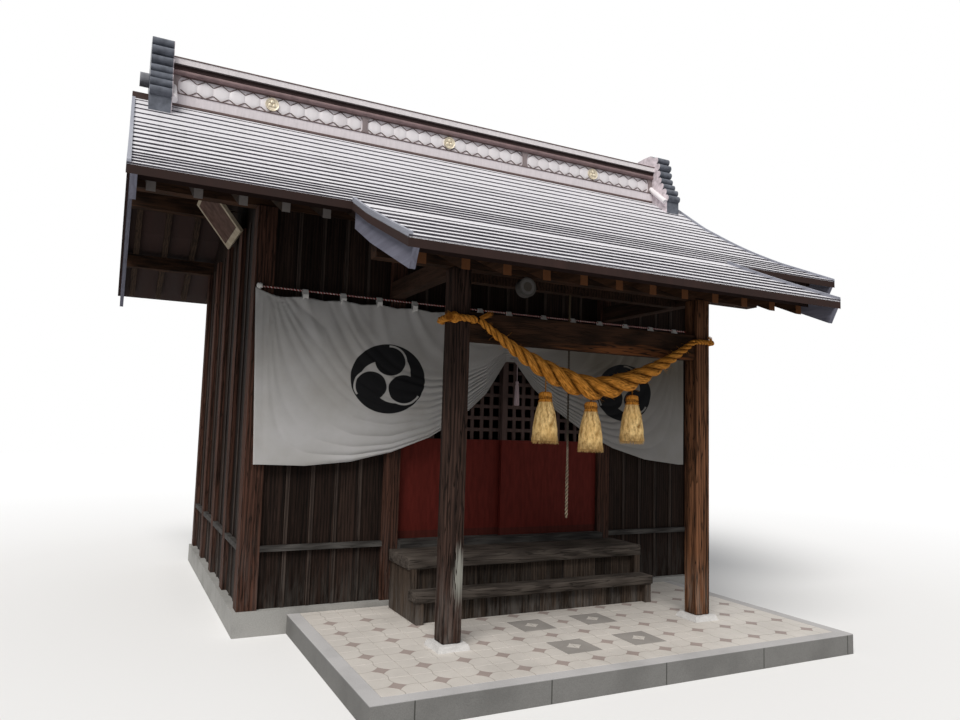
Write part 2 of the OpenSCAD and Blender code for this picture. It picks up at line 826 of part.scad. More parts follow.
// End ornament: a waisted plate astride the ridge, with rolls up both edges and a round end tile
end_outline = [[0, 540], [135, 532], [225, 470], [275, 345], [288, 215], [315, 100], [375, 5],
    [435, -80], [460, -190]];
end_rolls = [[239, 436], [276, 338], [286, 236], [306, 136], [351, 46], [410, -44], [447, -135]];
end_roll_r = 46;
end_tile_r = 70;
end_tile_rise = 135;

module end_ornament() {
    toe = end_outline[len(end_outline) - 1][0];
    union() {
        along_x(end_t, ridge_half + end_t / 2)
            polygon(concat([for (p = end_outline) [ridge_y + p[0], apex_z + p[1]]],
                [[ridge_y + toe, main_z(ridge_y + toe) + seat_gap], [ridge_y, apex_z + seat_gap],
                    [ridge_y - toe, main_z(ridge_y - toe) + seat_gap]],
                [for (i = [len(end_outline) - 1 : -1 : 1])
                    [ridge_y - end_outline[i][0], apex_z + end_outline[i][1]]]));
        for (p = end_rolls, side = [-1, 1])
            translate([ridge_half, ridge_y + side * p[0], apex_z + p[1]])
                rotate([0, 90, 0]) cylinder(h = end_t, r = end_roll_r);
        translate([ridge_half + end_t - fuse, ridge_y, apex_z + end_tile_rise])
            rotate([0, 90, 0]) cylinder(h = 90, r = end_tile_r);
    }
}

module ridge_ends() {
    color("darkslategray") both_sides() end_ornament();
}

module ridge_medallions() {
    z = ridge_base_z + ridge_panel_h / 2;
    color("gold")
        for (x = [-medallion_pitch, 0, medallion_pitch], side = [-1, 1])
            translate([x, ridge_y + side * (ridge_panel_w / 2 + medallion_t / 2), z])
                rotate([90, 0, 0]) cylinder(h = medallion_t, d = medallion_d, center = true);
}

// Straw rope: the sag of its centre line from post to post, thickest at its middle
rope_tie_z = crossbeam_z + rope_tie_rise;
rope_tie_t = rope_end_d;
rope_y = post_line_y - porch_post / 2 - rope_tie_t / 2;
rope_sides = 12;
rope_last = 22;
rope_tie_in_x = porch_x - porch_post / 2 - rope_tie_t;
rope_route = [for (i = [0 : rope_last])
    let (t = 2 * i / rope_last - 1)
        [t * rope_tie_in_x, rope_tie_z - rope_sag * (1 - pow(abs(t), 1.6))]];

function rope_r(x) = rope_end_d / 2 + (rope_mid_d - rope_end_d) / 2 * pow(cos(90 * x / rope_tie_in_x), 1.3);
function rope_dir(i) = i == 0 || i == rope_last
    ? [1, 0]
    : let (d = rope_route[i + 1] - rope_route[i - 1]) d / norm(d);
function rope_ring_r(i) = rope_r(min(abs(rope_route[i][0]), rope_tie_in_x));
function rope_ring(i) = let (c = rope_route[i], d = rope_dir(i), r = rope_ring_r(i))
    [for (k = [0 : rope_sides - 1])
        let (a = 360 * (k + 0.5) / rope_sides, u = r * cos(a), v = r * sin(a))
            [c[0] - d[1] * v, rope_y + u, c[1] + d[0] * v]];

module straw_rope() {
    last = rope_last * rope_sides;
    color("goldenrod")
        polyhedron(
            points = [for (i = [0 : rope_last]) each rope_ring(i)],
            faces = concat(
                [[for (k = [0 : rope_sides - 1]) k]],
                [for (i = [0 : rope_last - 1], k = [0 : rope_sides - 1])
                    let (a = i * rope_sides, b = a + rope_sides, n = (k + 1) % rope_sides)
                        each [[a + k, b + k, b + n], [a + k, b + n, a + n]]],
                [[for (k = [rope_sides - 1 : -1 : 0]) last + k]]));
}

// The rope's turns round each post, which stop at both faces of the crossbeam
module rope_ties() {
    z = rope_tie_z;
    side = porch_post + 2 * rope_tie_t;
    hole = porch_post + 2 * hair;
    beam = crossbeam_t + 2 * hair;
    color("goldenrod")
        both_sides()
            difference() {
                post(porch_x, post_line_y, side, side, z - rope_tie_h / 2, z + rope_tie_h / 2);
                post(porch_x, post_line_y, hole, hole, z - rope_tie_h, z + rope_tie_h);
                post(porch_x - side / 2, post_line_y, side, beam, z - rope_tie_h, z + rope_tie_h);
            }
}

// Tassels: place along the rope and height of the head's top over the rope's lowest centre line
rope_low_z = rope_tie_z - rope_sag;
tassel_places = [[-440, rope_low_z - 46], [-30, rope_low_z - 104], [365, rope_low_z - 36]];

// The rope's lowest line, which runs along the flat between its two lowest corners
function rope_low(i) = let (c = rope_route[i], d = rope_dir(i), v = rope_ring_r(i) * cos(180 / rope_sides))
    [c[0] + d[1] * v, c[1] - d[0] * v];
rope_low_line = [for (i = [0 : rope_last]) rope_low(i)];
function rope_foot(x) = min(lookup(x - tassel_string_d / 2, rope_low_line),
    lookup(x + tassel_string_d / 2, rope_low_line)) - hair;

module straw_tassels() {
    color("khaki")
        for (p = tassel_places)
            translate([p[0], rope_y, 0])
                union() {
                    translate([0, 0, p[1] - fuse])
                        cylinder(h = rope_foot(p[0]) - p[1] + fuse, d = tassel_string_d);
                    translate([0, 0, p[1] - tassel_head_h]) cylinder(h = tassel_head_h, d = tassel_head_d);
                    translate([0, 0, p[1] - tassel_head_h - tassel_len])
                        cylinder(h = tassel_len, d1 = tassel_d, d2 = tassel_head_d - 10);
                }
}

// Banner: one cloth, hung full width and gathered up at its middle
banner_outline = [[-2350, 0], [-2300, -1375], [-1900, -1382], [-1500, -1345], [-1150, -1265],
    [-800, -1130], [-500, -950], [-250, -720], [-40, -420], [40, -420], [250, -640], [520, -850],
    [850, -1050], [1200, -1200], [1600, -1310], [2040, -1360], [2110, 0]];
banner_y = hall_front_y - 12 - banner_t;
cord_z = tie_z - cord_gap - cord_d / 2;
banner_top_z = cord_z - cord_d / 2 - hair - loop_h;
loop_xs = [for (i = [-7 : 6]) i * loop_pitch];

module banner() {
    color("whitesmoke")
        translate([0, banner_y + banner_t, banner_top_z])
            rotate([90, 0, 0])
                linear_extrude(banner_t)
                    union() {
                        polygon(banner_outline);
                        for (x = loop_xs)
                            translate([x - loop_w / 2, -fuse]) square([loop_w, loop_h + fuse]);
                    }
}

// The taut cord over it, on a pin in each corner post
cord_y = banner_y + banner_t / 2;

module banner_cord() {
    color("crimson")
        union() {
            translate([-corner_x - cord_d, cord_y, cord_z])
                rotate([0, 90, 0]) cylinder(h = 2 * (corner_x + cord_d), d = cord_d);
            for (x = [-corner_x, corner_x])
                translate([x, cord_y, cord_z])
                    rotate([-90, 0, 0]) cylinder(h = hall_front_y - cord_y, d = cord_d / 2);
        }
}

// Bell on its beam, with its pull rope
bell_z = tie_z - bell_drop;
bell_at = [0, bell_line_y, bell_z];
bell_rope_top_z = bell_z - bell_d / 2 - hair;
bell_rope_foot_z = 968;

module bell() {
    color("darkgoldenrod")
        translate(bell_at)
            union() {
                sphere(d = bell_d);
                cylinder(h = tie_z - bell_z, d = 16);
                cylinder(h = 14, d = bell_d + 12, center = true);
            }
}

bell_rope_route = [for (i = [0 : 14]) bell_rope_top_z + (bell_rope_foot_z - bell_rope_top_z) * i / 14];
bell_rope_sides = 10;

module bell_rope() {
    n = len(bell_rope_route);
    s = bell_rope_sides;
    color("wheat")
        polyhedron(
            points = [for (i = [0 : n - 1], k = [0 : s - 1])
                [bell_at[0] + bell_rope_d / 2 * cos(360 * k / s),
                    bell_at[1] + bell_rope_d / 2 * sin(360 * k / s), bell_rope_route[i]]],
            faces = concat(
                [[for (k = [0 : s - 1]) k]],
                [for (i = [0 : n - 2], k = [0 : s - 1])
                    let (a = i * s, b = a + s, m = (k + 1) % s)
                        each [[a + k, b + k, b + m], [a + k, b + m, a + m]]],
                [[for (k = [s - 1 : -1 : 0]) (n - 1) * s + k]]));
}

// Round lamp under the purlin
lamp_x = -590;
lamp_z = purlin_z - lamp_d / 2 - 8;

module porch_lamp() {
    color("gainsboro")
        union() {
            translate([lamp_x, purlin_front_y + lamp_t / 2, lamp_z])
                rotate([90, 0, 0]) cylinder(h = lamp_t, d = lamp_d, center = true);
            translate([lamp_x, purlin_front_y + lamp_t / 2, lamp_z])
                cylinder(h = purlin_z - lamp_z, d = 24);
        }
}

// Framed plaque on the left wall, leaning out over the side, with its two stays
plaque_y = hall_front_y + plaque_back;
plaque_foot_z = post_top_z - plaque_drop;

module wall_plaque() {
    foot_x = -hall_w / 2 - hair;
    stay_at = plaque_h - 60;
    stay_x = foot_x - stay_at * sin(plaque_lean) - plaque_t / 2;
    color("peru")
        union() {
            translate([foot_x, plaque_y - plaque_w / 2, plaque_foot_z])
                rotate([0, -plaque_lean, 0])
                    translate([-plaque_t, 0, 0]) cube([plaque_t, plaque_w, plaque_h]);
            for (y = [plaque_y - plaque_w / 2 + 60, plaque_y + plaque_w / 2 - 60])
                translate([stay_x, y, plaque_foot_z + stay_at * cos(plaque_lean)])
                    rotate([0, 90, 0]) cylinder(h = -wall_side_x - hair - stay_x, d = 14);
        }
}

porch_platform();
porch_tiles();
post_pads();
plinth();
porch_posts();
porch_crossbeam();
porch_tie_beams();
porch_purlin();
porch_rafters();
porch_roof();
porch_bargeboards();
hall_posts();
door_posts();
front_walls();
front_wall_over_door();
side_walls();
rear_wall();
gable_walls();
waist_rails();
roof_beams();
hall_floor();
floor_joists();
floor_posts();
door_frame();
door_left();
door_right();
step_treads();
step_supports();
main_roof_front();
main_roof_rear();
main_rafters();
gable_bargeboards();
ridge_body();
ridge_cap();
ridge_ends();
ridge_medallions();
straw_rope();
rope_ties();
straw_tassels();
banner();
banner_cord();
bell();
bell_rope();
porch_lamp();
wall_plaque();
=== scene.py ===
# %% [markdown]
# # A small shrine worship hall
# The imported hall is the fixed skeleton: its posts, walls, slopes and doors are already exact. This lesson
# dresses it. Each step says what a piece is on a real hall, how it could be made and why it is made so here.
# Everything is in metres, +X to the right, +Y into the hall and +Z up.

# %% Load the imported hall
import math
import random

import bmesh
import bpy
from mathutils import Matrix, Vector, noise


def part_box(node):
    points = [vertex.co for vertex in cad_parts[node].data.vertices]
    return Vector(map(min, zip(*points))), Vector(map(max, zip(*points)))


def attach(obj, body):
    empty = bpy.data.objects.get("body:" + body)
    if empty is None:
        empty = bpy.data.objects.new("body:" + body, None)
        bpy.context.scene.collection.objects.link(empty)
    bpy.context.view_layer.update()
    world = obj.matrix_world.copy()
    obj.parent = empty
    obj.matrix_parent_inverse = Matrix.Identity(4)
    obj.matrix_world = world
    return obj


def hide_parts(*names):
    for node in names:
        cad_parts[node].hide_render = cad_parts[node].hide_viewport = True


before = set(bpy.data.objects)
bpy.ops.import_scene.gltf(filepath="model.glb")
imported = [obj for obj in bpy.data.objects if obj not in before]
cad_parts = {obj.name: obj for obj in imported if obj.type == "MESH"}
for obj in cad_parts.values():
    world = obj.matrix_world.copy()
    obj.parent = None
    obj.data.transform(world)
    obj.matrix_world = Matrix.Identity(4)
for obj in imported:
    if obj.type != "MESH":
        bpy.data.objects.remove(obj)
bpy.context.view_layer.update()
print("nodes to dress:", len(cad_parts))

# %% [markdown]
# ## The camera
# The view is a person's, standing left of the porch and looking up a little. Its place was worked out from
# the posts, the platform and the ridge, so it is given as a point, three turns and a lens.

# %% Place the camera
eye = (-3.324, -7.181, 1.669)
yaw, pitch, roll = (math.radians(a) for a in (26.55, 5.28, 1.62))
ahead = Vector((math.sin(yaw) * math.cos(pitch), math.cos(yaw) * math.cos(pitch), math.sin(pitch)))
right = Vector((math.cos(yaw), -math.sin(yaw), 0))
above = right.cross(ahead)
side_axis = math.cos(roll) * right + math.sin(roll) * above
up_axis = math.cos(roll) * above - math.sin(roll) * right
bpy.ops.object.camera_add(location=eye)
camera = bpy.context.object
camera.rotation_euler = Matrix((side_axis, up_axis, -ahead)).transposed().to_euler()
camera.data.lens = 27.5
camera.data.sensor_width = 36
bpy.context.scene.camera = camera
print("the camera looks towards", [round(c, 2) for c in ahead])

# %% [markdown]
# ## Working by hand, in code
# An operator acts on all that is selected, so each step first selects only what it means. Edit mode then
# picks faces, edges or corners by their place, as a person would by eye.

# %% Selecting
def only(*pieces):
    """Object mode, with just these pieces selected and the last one active."""
    if bpy.context.object is not None and bpy.context.object.mode != "OBJECT":
        bpy.ops.object.mode_set(mode="OBJECT")
    bpy.ops.object.select_all(action="DESELECT")
    for piece in pieces:
        piece.select_set(True)
    bpy.context.view_layer.objects.active = pieces[-1]


def edit(piece, kind, wanted=lambda element: True):
    """Edit mode, with all corners, edges or faces selected for which wanted(element) holds."""
    only(piece)
    bpy.ops.object.mode_set(mode="EDIT")
    bpy.ops.mesh.select_mode(type=kind)
    bpy.ops.mesh.select_all(action="DESELECT")
    mesh = bmesh.from_edit_mesh(piece.data)
    for element in {"VERT": mesh.verts, "EDGE": mesh.edges, "FACE": mesh.faces}[kind]:
        if wanted(element):
            element.select_set(True)
    mesh.select_flush_mode()
    bmesh.update_edit_mesh(piece.data)


def leave_edit():
    bpy.ops.object.mode_set(mode="OBJECT")


def extrude(x, y, z):
    """In edit mode: what is selected is drawn out by this much."""
    bpy.ops.mesh.extrude_region_move(TRANSFORM_OT_translate={"value": (x, y, z)})


def faces_outwards():
    """In edit mode: every face is turned to the outside."""
    bpy.ops.mesh.select_all(action="SELECT")
    bpy.ops.mesh.normals_make_consistent(inside=False)


def cut_up(piece, kind, cuts, wanted=lambda element: True):
    """The wanted edges or faces, cut into smaller ones."""
    edit(piece, kind, wanted)
    bpy.ops.mesh.subdivide(number_cuts=cuts)
    leave_edit()


# %% [markdown]
# Pieces keep their place in their mesh, with the object at the origin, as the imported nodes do. So each
# primitive is settled at once, and a copy is moved in its mesh.

# %% Placing, copying and joining
def settled(piece):
    """The piece with its place, turn and size moved into its mesh."""
    only(piece)
    bpy.ops.object.transform_apply(location=True, rotation=True, scale=True)
    return piece


def block(low, high):
    """A box between two corners."""
    low, high = Vector(low), Vector(high)
    bpy.ops.mesh.primitive_cube_add(size=1, location=(low + high) / 2)
    bpy.context.object.scale = high - low
    return settled(bpy.context.object)


def bevelled(piece, edge, segments=1, wanted=lambda element: True):
    """The piece with its edges eased, or with only the wanted ones."""
    edit(piece, "EDGE", wanted)
    bpy.ops.mesh.bevel(offset=edge, segments=segments)
    leave_edit()
    return piece


def board(low, high, edge=0.004, segments=1):
    """A board or beam with its edges eased."""
    return bevelled(block(low, high), edge, segments)


def rod(sides, radius, length, middle, turn, **settings):
    """A round rod, upright before it is turned."""
    bpy.ops.mesh.primitive_cylinder_add(vertices=sides, radius=radius, depth=length, location=middle,
                                        rotation=turn, **settings)
    return settled(bpy.context.object)


def copied(piece, move):
    """A copy with its own mesh, moved by a vector or by a matrix."""
    twin = piece.copy()
    twin.data = piece.data.copy()
    bpy.context.collection.objects.link(twin)
    twin.data.transform(move if isinstance(move, Matrix) else Matrix.Translation(move))
    return twin


def named(piece, name):
    piece.name = piece.data.name = name
    return piece


def joined(name, pieces):
    """One piece made of several."""
    only(*pieces)
    if len(pieces) > 1:
        bpy.ops.object.join()
    return named(bpy.context.object, name)


def mirrored(piece, over_y=None):
    """A mirrored copy across the hall's middle, or across the ridge, with its faces turned outwards."""
    middle = Matrix.Scale(-1, 4, (1, 0, 0))
    if over_y is not None:
        middle = Matrix.Translation((0, 2 * over_y, 0)) @ Matrix.Scale(-1, 4, (0, 1, 0))
    twin = copied(piece, middle)
    twin.data.flip_normals()
    return twin


def with_modifier(piece, kind, **settings):
    """The piece with one modifier added and applied."""
    only(piece)
    added = piece.modifiers.new(kind.title(), kind)
    for key, value in settings.items():
        setattr(added, key, value)
    bpy.ops.object.modifier_apply(modifier=added.name)
    return piece


def smooth(piece, angle=35):
    """Shading that is smooth up to an angle between faces."""
    only(piece)
    bpy.ops.object.shade_smooth_by_angle(angle=math.radians(angle))
    return piece


# %% [markdown]
# ## Building finishes from nodes
# A finish is a small graph of nodes. Helpers keep the graphs short: one adds a node and links or sets its
# inputs, one starts a group that several finishes share, and the rest name the steps that come up often.

# %% Node helpers
def fed(tree, made, values):
    """A node whose inputs, by name or number, are linked if the value is a socket, and set if not."""
    for key, value in values.items():
        if isinstance(value, bpy.types.NodeSocket):
            tree.links.new(value, made.inputs[key])
        else:
            made.inputs[key].default_value = value
    return made


def node(tree, kind, values=None, **settings):
    """A new node of a tree."""
    made = tree.nodes.new("ShaderNode" + kind)
    for key, value in settings.items():
        setattr(made, key, value)
    return fed(tree, made, values or {})


def group_of(name, inputs, outputs):
    """An empty shader group, with its inputs (name, kind, default) and outputs (name, kind)."""
    group = bpy.data.node_groups.new(name, "ShaderNodeTree")
    for label, kind, default in inputs:
        socket = group.interface.new_socket(label, in_out="INPUT", socket_type="NodeSocket" + kind)
        if default is not None:
            socket.default_value = default
    for label, kind in outputs:
        group.interface.new_socket(label, in_out="OUTPUT", socket_type="NodeSocket" + kind)
    return group, group.nodes.new("NodeGroupInput").outputs, group.nodes.new("NodeGroupOutput").inputs


def use(tree, group, values):
    """A group placed in a tree."""
    made = tree.nodes.new("ShaderNodeGroup")
    made.node_tree = group
    return fed(tree, made, values).outputs


def tint(tree, share, first, second):
    """Two colours mixed by a share."""
    return node(tree, "Mix", {0: share, 6: first, 7: second}, data_type="RGBA").outputs[2]


def ramp(tree, value, low, high, to_low=0.0, to_high=1.0):
    """A value's range low to high spread over another range, and held at its ends."""
    return node(tree, "MapRange", {0: value, 1: low, 2: high, 3: to_low, 4: to_high}).outputs[0]


def sums(tree, operation, first, second=0.0):
    """One step of arithmetic."""
    return node(tree, "Math", {0: first, 1: second}, operation=operation).outputs[0]


def product(tree, first, *others):
    """Numbers multiplied."""
    for other in others:
        first = sums(tree, "MULTIPLY", first, other)
    return first


def greatest(tree, first, *others):
    """The greatest of several numbers."""
    for other in others:
        first = sums(tree, "MAXIMUM", first, other)
    return first


def vectors(tree, operation, first, second):
    """One step of arithmetic with places."""
    return node(tree, "VectorMath", {0: first, 1: second}, operation=operation).outputs[0]


def scaled(tree, colour, factor):
    """A colour times a number."""
    return node(tree, "VectorMath", {0: colour, "Scale": factor}, operation="SCALE").outputs[0]


def length_of(tree, place):
    """How far a place is from the origin."""
    return node(tree, "VectorMath", {0: place}, operation="LENGTH").outputs[1]


def coordinate(tree, place, axis):
    """A place's X, Y or Z."""
    return node(tree, "SeparateXYZ", {0: place}).outputs["XYZ".index(axis)]


def squeezed(tree, place, scale):
    """A place with its axes scaled. Noise is drawn out along the axis with the smallest scale."""
    return node(tree, "Mapping", {0: place, "Scale": scale}).outputs[0]


def noise_at(tree, place, scale, detail, roughness=0.5):
    """Noise from 0 to 1."""
    values = {"Vector": place, "Scale": scale, "Detail": detail, "Roughness": roughness}
    return node(tree, "TexNoise", values).outputs[0]


def rgb(red, green, blue):
    return (red, green, blue, 1.0)


def finish(name, roughness=0.7, metallic=0.0, shine=0.05):
    """A new material, its tree, its shader and the Object coordinates. Old dry surfaces hardly shine."""
    material = bpy.data.materials.new(name)
    material.use_nodes = True
    tree = material.node_tree
    shader = tree.nodes["Principled BSDF"]
    shader.inputs["Roughness"].default_value = roughness
    shader.inputs["Metallic"].default_value = metallic
    shader.inputs["Specular IOR Level"].default_value = shine
    place = node(tree, "TexCoord").outputs["Object"]
    return material, tree, shader, place


def surface(tree, shader, colour, height=None, roughness=None, strength=0.5, distance=0.004):
    """Colour, roughness and bump on a shader."""
    tree.links.new(colour, shader.inputs["Base Color"])
    if roughness is not None:
        tree.links.new(roughness, shader.inputs["Roughness"])
    if height is not None:
        bump = node(tree, "Bump", {"Height": height, "Strength": strength, "Distance": distance})
        tree.links.new(bump.outputs[0], shader.inputs["Normal"])


# %% [markdown]
# ### Weathered wood
# Old unpainted softwood shows long grain, darker late wood, checks that open along the grain and a grey
# bloom where rain reaches. The grain is noise stretched along the timber, so the group takes a place that
# its user has already squeezed in the timber's direction.

# %% The wood group
wood, given, result = group_of(
    "weathered_wood",
    [("Place", "Vector", None), ("Dark", "Color", rgb(0.03, 0.02, 0.015)),
     ("Light", "Color", rgb(0.12, 0.07, 0.045)), ("Checks", "Float", 0.6)],
    [("Color", "Color"), ("Height", "Float"), ("Roughness", "Float")])
place = given["Place"]
broad = node(wood, "TexNoise", {"Vector": place, "Scale": 7.0, "Detail": 6.0, "Roughness": 0.6,
                                "Distortion": 0.7}).outputs[0]
fine = noise_at(wood, place, 55.0, 4.0)
rings = node(wood, "TexWave", {"Vector": place, "Scale": 5.5, "Distortion": 7.0, "Detail": 3.0,
                               "Detail Scale": 1.6}, bands_direction="X").outputs[1]
cracks = noise_at(wood, place, 16.0, 2.0)
opens, closes = ramp(wood, cracks, 0.47, 0.5), ramp(wood, cracks, 0.5, 0.53, 1.0, 0.0)
check_line = product(wood, opens, closes, given["Checks"])
grain = sums(wood, "ADD", product(wood, broad, 0.55),
             sums(wood, "ADD", product(wood, fine, 0.25), product(wood, rings, 0.2)))
toned = tint(wood, ramp(wood, grain, 0.3, 0.68), given["Dark"], given["Light"])
wood.links.new(tint(wood, check_line, toned, rgb(0.006, 0.005, 0.004)), result["Color"])
wood.links.new(sums(wood, "SUBTRACT", grain, product(wood, check_line, 1.6)), result["Height"])
wood.links.new(ramp(wood, grain, 0.2, 0.8, 0.62, 0.9), result["Roughness"])
print("wood group nodes:", len(wood.nodes))

# %% [markdown]
# Grey bloom and splashed dirt gather near the ground, in streaks. This second group paints them over any
# wood, strongest at the foot and fading with height.

# %% The bloom group
bloom, given, result = group_of(
    "grey_bloom",
    [("Place", "Vector", None), ("Color", "Color", rgb(0.1, 0.1, 0.1)),
     ("Bloom", "Color", rgb(0.3, 0.3, 0.28)), ("Foot", "Float", 0.2), ("Top", "Float", 0.9),
     ("Amount", "Float", 0.8)],
    [("Color", "Color")])
fade = ramp(bloom, coordinate(bloom, given["Place"], "Z"), given["Foot"], given["Top"], 1.0, 0.0)
streaks = noise_at(bloom, squeezed(bloom, given["Place"], (9.0, 9.0, 1.2)), 2.6, 7.0, 0.62)
share = product(bloom, ramp(bloom, streaks, 0.42, 0.62), fade, given["Amount"])
bloom.links.new(tint(bloom, share, given["Color"], given["Bloom"]), result["Color"])

# %% [markdown]
# One function makes every wood from the two groups. Boards that lie side by side each take their own piece
# of the noise and their own shade, with a dark groove between them.

# %% Wood finishes
def wood_finish(name, along, dark, light, checks=0.6, foot=None, boards=None, strength=0.55, ends=None,
                patch=None):
    """Wood with its grain along X, Y or Z.

    A foot is (bloom colour, height where it starts, height where it ends, amount), and boards are (axis,
    width). The ends are (front y, rear y, colour): past them the sawn end of a rafter shows its own colour.
    A patch is (middle, reach, colour, squeeze), a ragged place of that colour that is long where its squeeze
    is small.
    """
    material, tree, shader, place = finish(name)
    grain_scale = [2.0, 2.0, 2.0]
    grain_scale["XYZ".index(along)] = 0.9 / 7
    grain_place = squeezed(tree, place, grain_scale)
    if boards:
        number = sums(tree, "DIVIDE", coordinate(tree, place, boards[0]), boards[1])
        own = node(tree, "TexWhiteNoise", {1: sums(tree, "FLOOR", number)}, noise_dimensions="1D")
        grain_place = vectors(tree, "ADD", grain_place, own.outputs[1])
    made = use(tree, wood, {"Place": grain_place, "Dark": dark, "Light": light, "Checks": checks})
    colour, height = made["Color"], made["Height"]
    if boards:
        groove = ramp(tree, sums(tree, "PINGPONG", number, 0.5), 0.0, 0.022)
        colour = scaled(tree, colour, ramp(tree, own.outputs[0], 0.0, 1.0, 0.55, 1.5))
        colour = tint(tree, groove, rgb(0.004, 0.004, 0.004), colour)
        height = product(tree, height, groove)
    if foot:
        colour = use(tree, bloom, {"Place": place, "Color": colour, "Bloom": foot[0], "Foot": foot[1],
                                   "Top": foot[2], "Amount": foot[3]})["Color"]
    if ends:
        front, rear, sawn_colour = ends
        along_y = coordinate(tree, place, "Y")
        sawn = sums(tree, "ADD", ramp(tree, along_y, front, front + 0.002, 1.0, 0.0),
                    ramp(tree, along_y, rear - 0.002, rear))
        colour = tint(tree, sawn, colour, sawn_colour)
    if patch:
        middle, reach, patch_colour, squeeze = patch
        away = vectors(tree, "MULTIPLY", vectors(tree, "SUBTRACT", place, middle), squeeze)
        ragged = sums(tree, "SUBTRACT", length_of(tree, away), product(tree, made["Height"], reach * 1.6))
        colour = tint(tree, ramp(tree, ragged, -reach * 0.35, reach * 0.45, 0.9, 0.0), colour, patch_colour)
    surface(tree, shader, colour, height, made["Roughness"], strength, 0.006)
    return material


dark_post = wood_finish("dark_post_wood", "Z", rgb(0.01, 0.007, 0.006), rgb(0.062, 0.036, 0.028), 0.9,
                        (rgb(0.2, 0.18, 0.165), 0.2, 0.8, 0.45), strength=0.9,
                        patch=((-1.098, -2.49, 0.66), 0.045, rgb(0.27, 0.27, 0.24), (1, 1, 0.25)))
warm_post = wood_finish("warm_post_wood", "Z", rgb(0.03, 0.014, 0.008), rgb(0.19, 0.085, 0.043), 0.9,
                        (rgb(0.3, 0.26, 0.22), 0.2, 0.7, 0.35), strength=0.9)
hall_post_wood = wood_finish("hall_post_wood", "Z", rgb(0.015, 0.009, 0.007), rgb(0.085, 0.04, 0.028), 0.7,
                             (rgb(0.1, 0.095, 0.09), 0.1, 1.0, 0.4), strength=0.7)
cross_wood = wood_finish("cross_wood", "X", rgb(0.011, 0.007, 0.005), rgb(0.055, 0.027, 0.016), 0.5)
_, beam_front, beam_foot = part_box("porch_crossbeam")[0]
# An orange ragged patch along the beam's lower front edge, drawn out along X.
beam_wood = wood_finish("beam_wood", "X", rgb(0.011, 0.007, 0.005), rgb(0.055, 0.027, 0.016), 0.5,
                        patch=((0.42, beam_front, beam_foot), 0.075, rgb(0.2, 0.072, 0.026), (0.13, 1, 1)))
tie_wood = wood_finish("tie_wood", "Y", rgb(0.012, 0.008, 0.006), rgb(0.06, 0.033, 0.023), 0.5)
porch_rafter_wood = wood_finish("porch_rafter_wood", "Y", rgb(0.02, 0.011, 0.007), rgb(0.075, 0.036, 0.02),
                                0.2, ends=(-3.017, 9.0, rgb(0.15, 0.062, 0.027)))
main_rafter_wood = wood_finish("main_rafter_wood", "Y", rgb(0.016, 0.011, 0.009), rgb(0.06, 0.038, 0.026),
                               0.2, ends=(-1.825, 3.017, rgb(0.22, 0.2, 0.19)))
board_width = 0.203
wall_x_wood, wall_y_wood = (
    wood_finish(name, "Z", rgb(0.005, 0.0036, 0.003), rgb(0.026, 0.016, 0.0125), 0.5,
                (rgb(0.09, 0.085, 0.078), 0.1, 0.6, 0.45), (axis, board_width))
    for name, axis in (("wall_boards_front", "X"), ("wall_boards_side", "Y")))
batten_wood = wood_finish("batten_wood", "Z", rgb(0.011, 0.008, 0.007), rgb(0.065, 0.048, 0.04), 0.3,
                          (rgb(0.11, 0.105, 0.098), 0.1, 0.65, 0.5))
rail_wood = wood_finish("rail_wood", "X", rgb(0.02, 0.018, 0.017), rgb(0.085, 0.08, 0.075), 0.4)
tread_wood = wood_finish("tread_wood", "X", rgb(0.032, 0.026, 0.022), rgb(0.1, 0.084, 0.072), 0.6,
                         strength=0.9)
riser_wood = wood_finish("riser_wood", "Z", rgb(0.016, 0.011, 0.0085), rgb(0.068, 0.05, 0.038), 0.5,
                         (rgb(0.17, 0.16, 0.15), 0.1, 0.5, 0.5), ("X", 0.17))
blue_board = wood_finish("barge_wood", "Y", rgb(0.13, 0.13, 0.165), rgb(0.2, 0.2, 0.25), 0.1, strength=0.15)
floor_wood = wood_finish("floor_wood", "Y", rgb(0.07, 0.045, 0.03), rgb(0.2, 0.14, 0.09), 0.3,
                         boards=("X", 0.12))
print("wood finishes:", len([m for m in bpy.data.materials if "wood" in m.name]))

# %% [markdown]
# ### Stone, cement and tile
# Cast concrete is a fine speckle over slow stains. One group gives both, and each user sets how coarse it
# is and how strongly it is stained.

# %% The cement group
cement, given, result = group_of(
    "cement",
    [("Place", "Vector", None), ("Color", "Color", rgb(0.4, 0.4, 0.38)), ("Grain", "Float", 220.0),
     ("Stain", "Float", 0.5)],
    [("Color", "Color"), ("Height", "Float")])
place, colour = given["Place"], given["Color"]
speckle = noise_at(cement, place, given["Grain"], 3.0)
pits = node(cement, "TexVoronoi", {"Vector": place, "Scale": 75.0}).outputs[0]
stain = noise_at(cement, place, 2.2, 8.0, 0.6)
darker = scaled(cement, colour, 0.5)
stained = tint(cement, product(cement, ramp(cement, stain, 0.42, 0.7), given["Stain"]), colour, darker)
cement.links.new(tint(cement, ramp(cement, speckle, 0.35, 0.7, 0.0, 0.35), stained, darker), result["Color"])
cement.links.new(sums(cement, "ADD", product(cement, speckle, 0.5), ramp(cement, pits, 0.0, 0.25, -0.6, 0.3)),
                 result["Height"])

# %% [markdown]
# The plinth, the post pads, the tile joints and two kinds of tile are this group with their own colours. The
# tiles are smoother, so they get less roughness and bump.

# %% Mineral finishes
def cast(tree, place, colour, grain, stain):
    """The cement group placed in a finish."""
    return use(tree, cement, {"Place": place, "Color": colour, "Grain": grain, "Stain": stain})


def cement_finish(name, colour, grain, stain, roughness=0.85, strength=0.35):
    material, tree, shader, place = finish(name, roughness)
    made = cast(tree, place, colour, grain, stain)
    surface(tree, shader, made["Color"], made["Height"], strength=strength, distance=0.003)
    return material


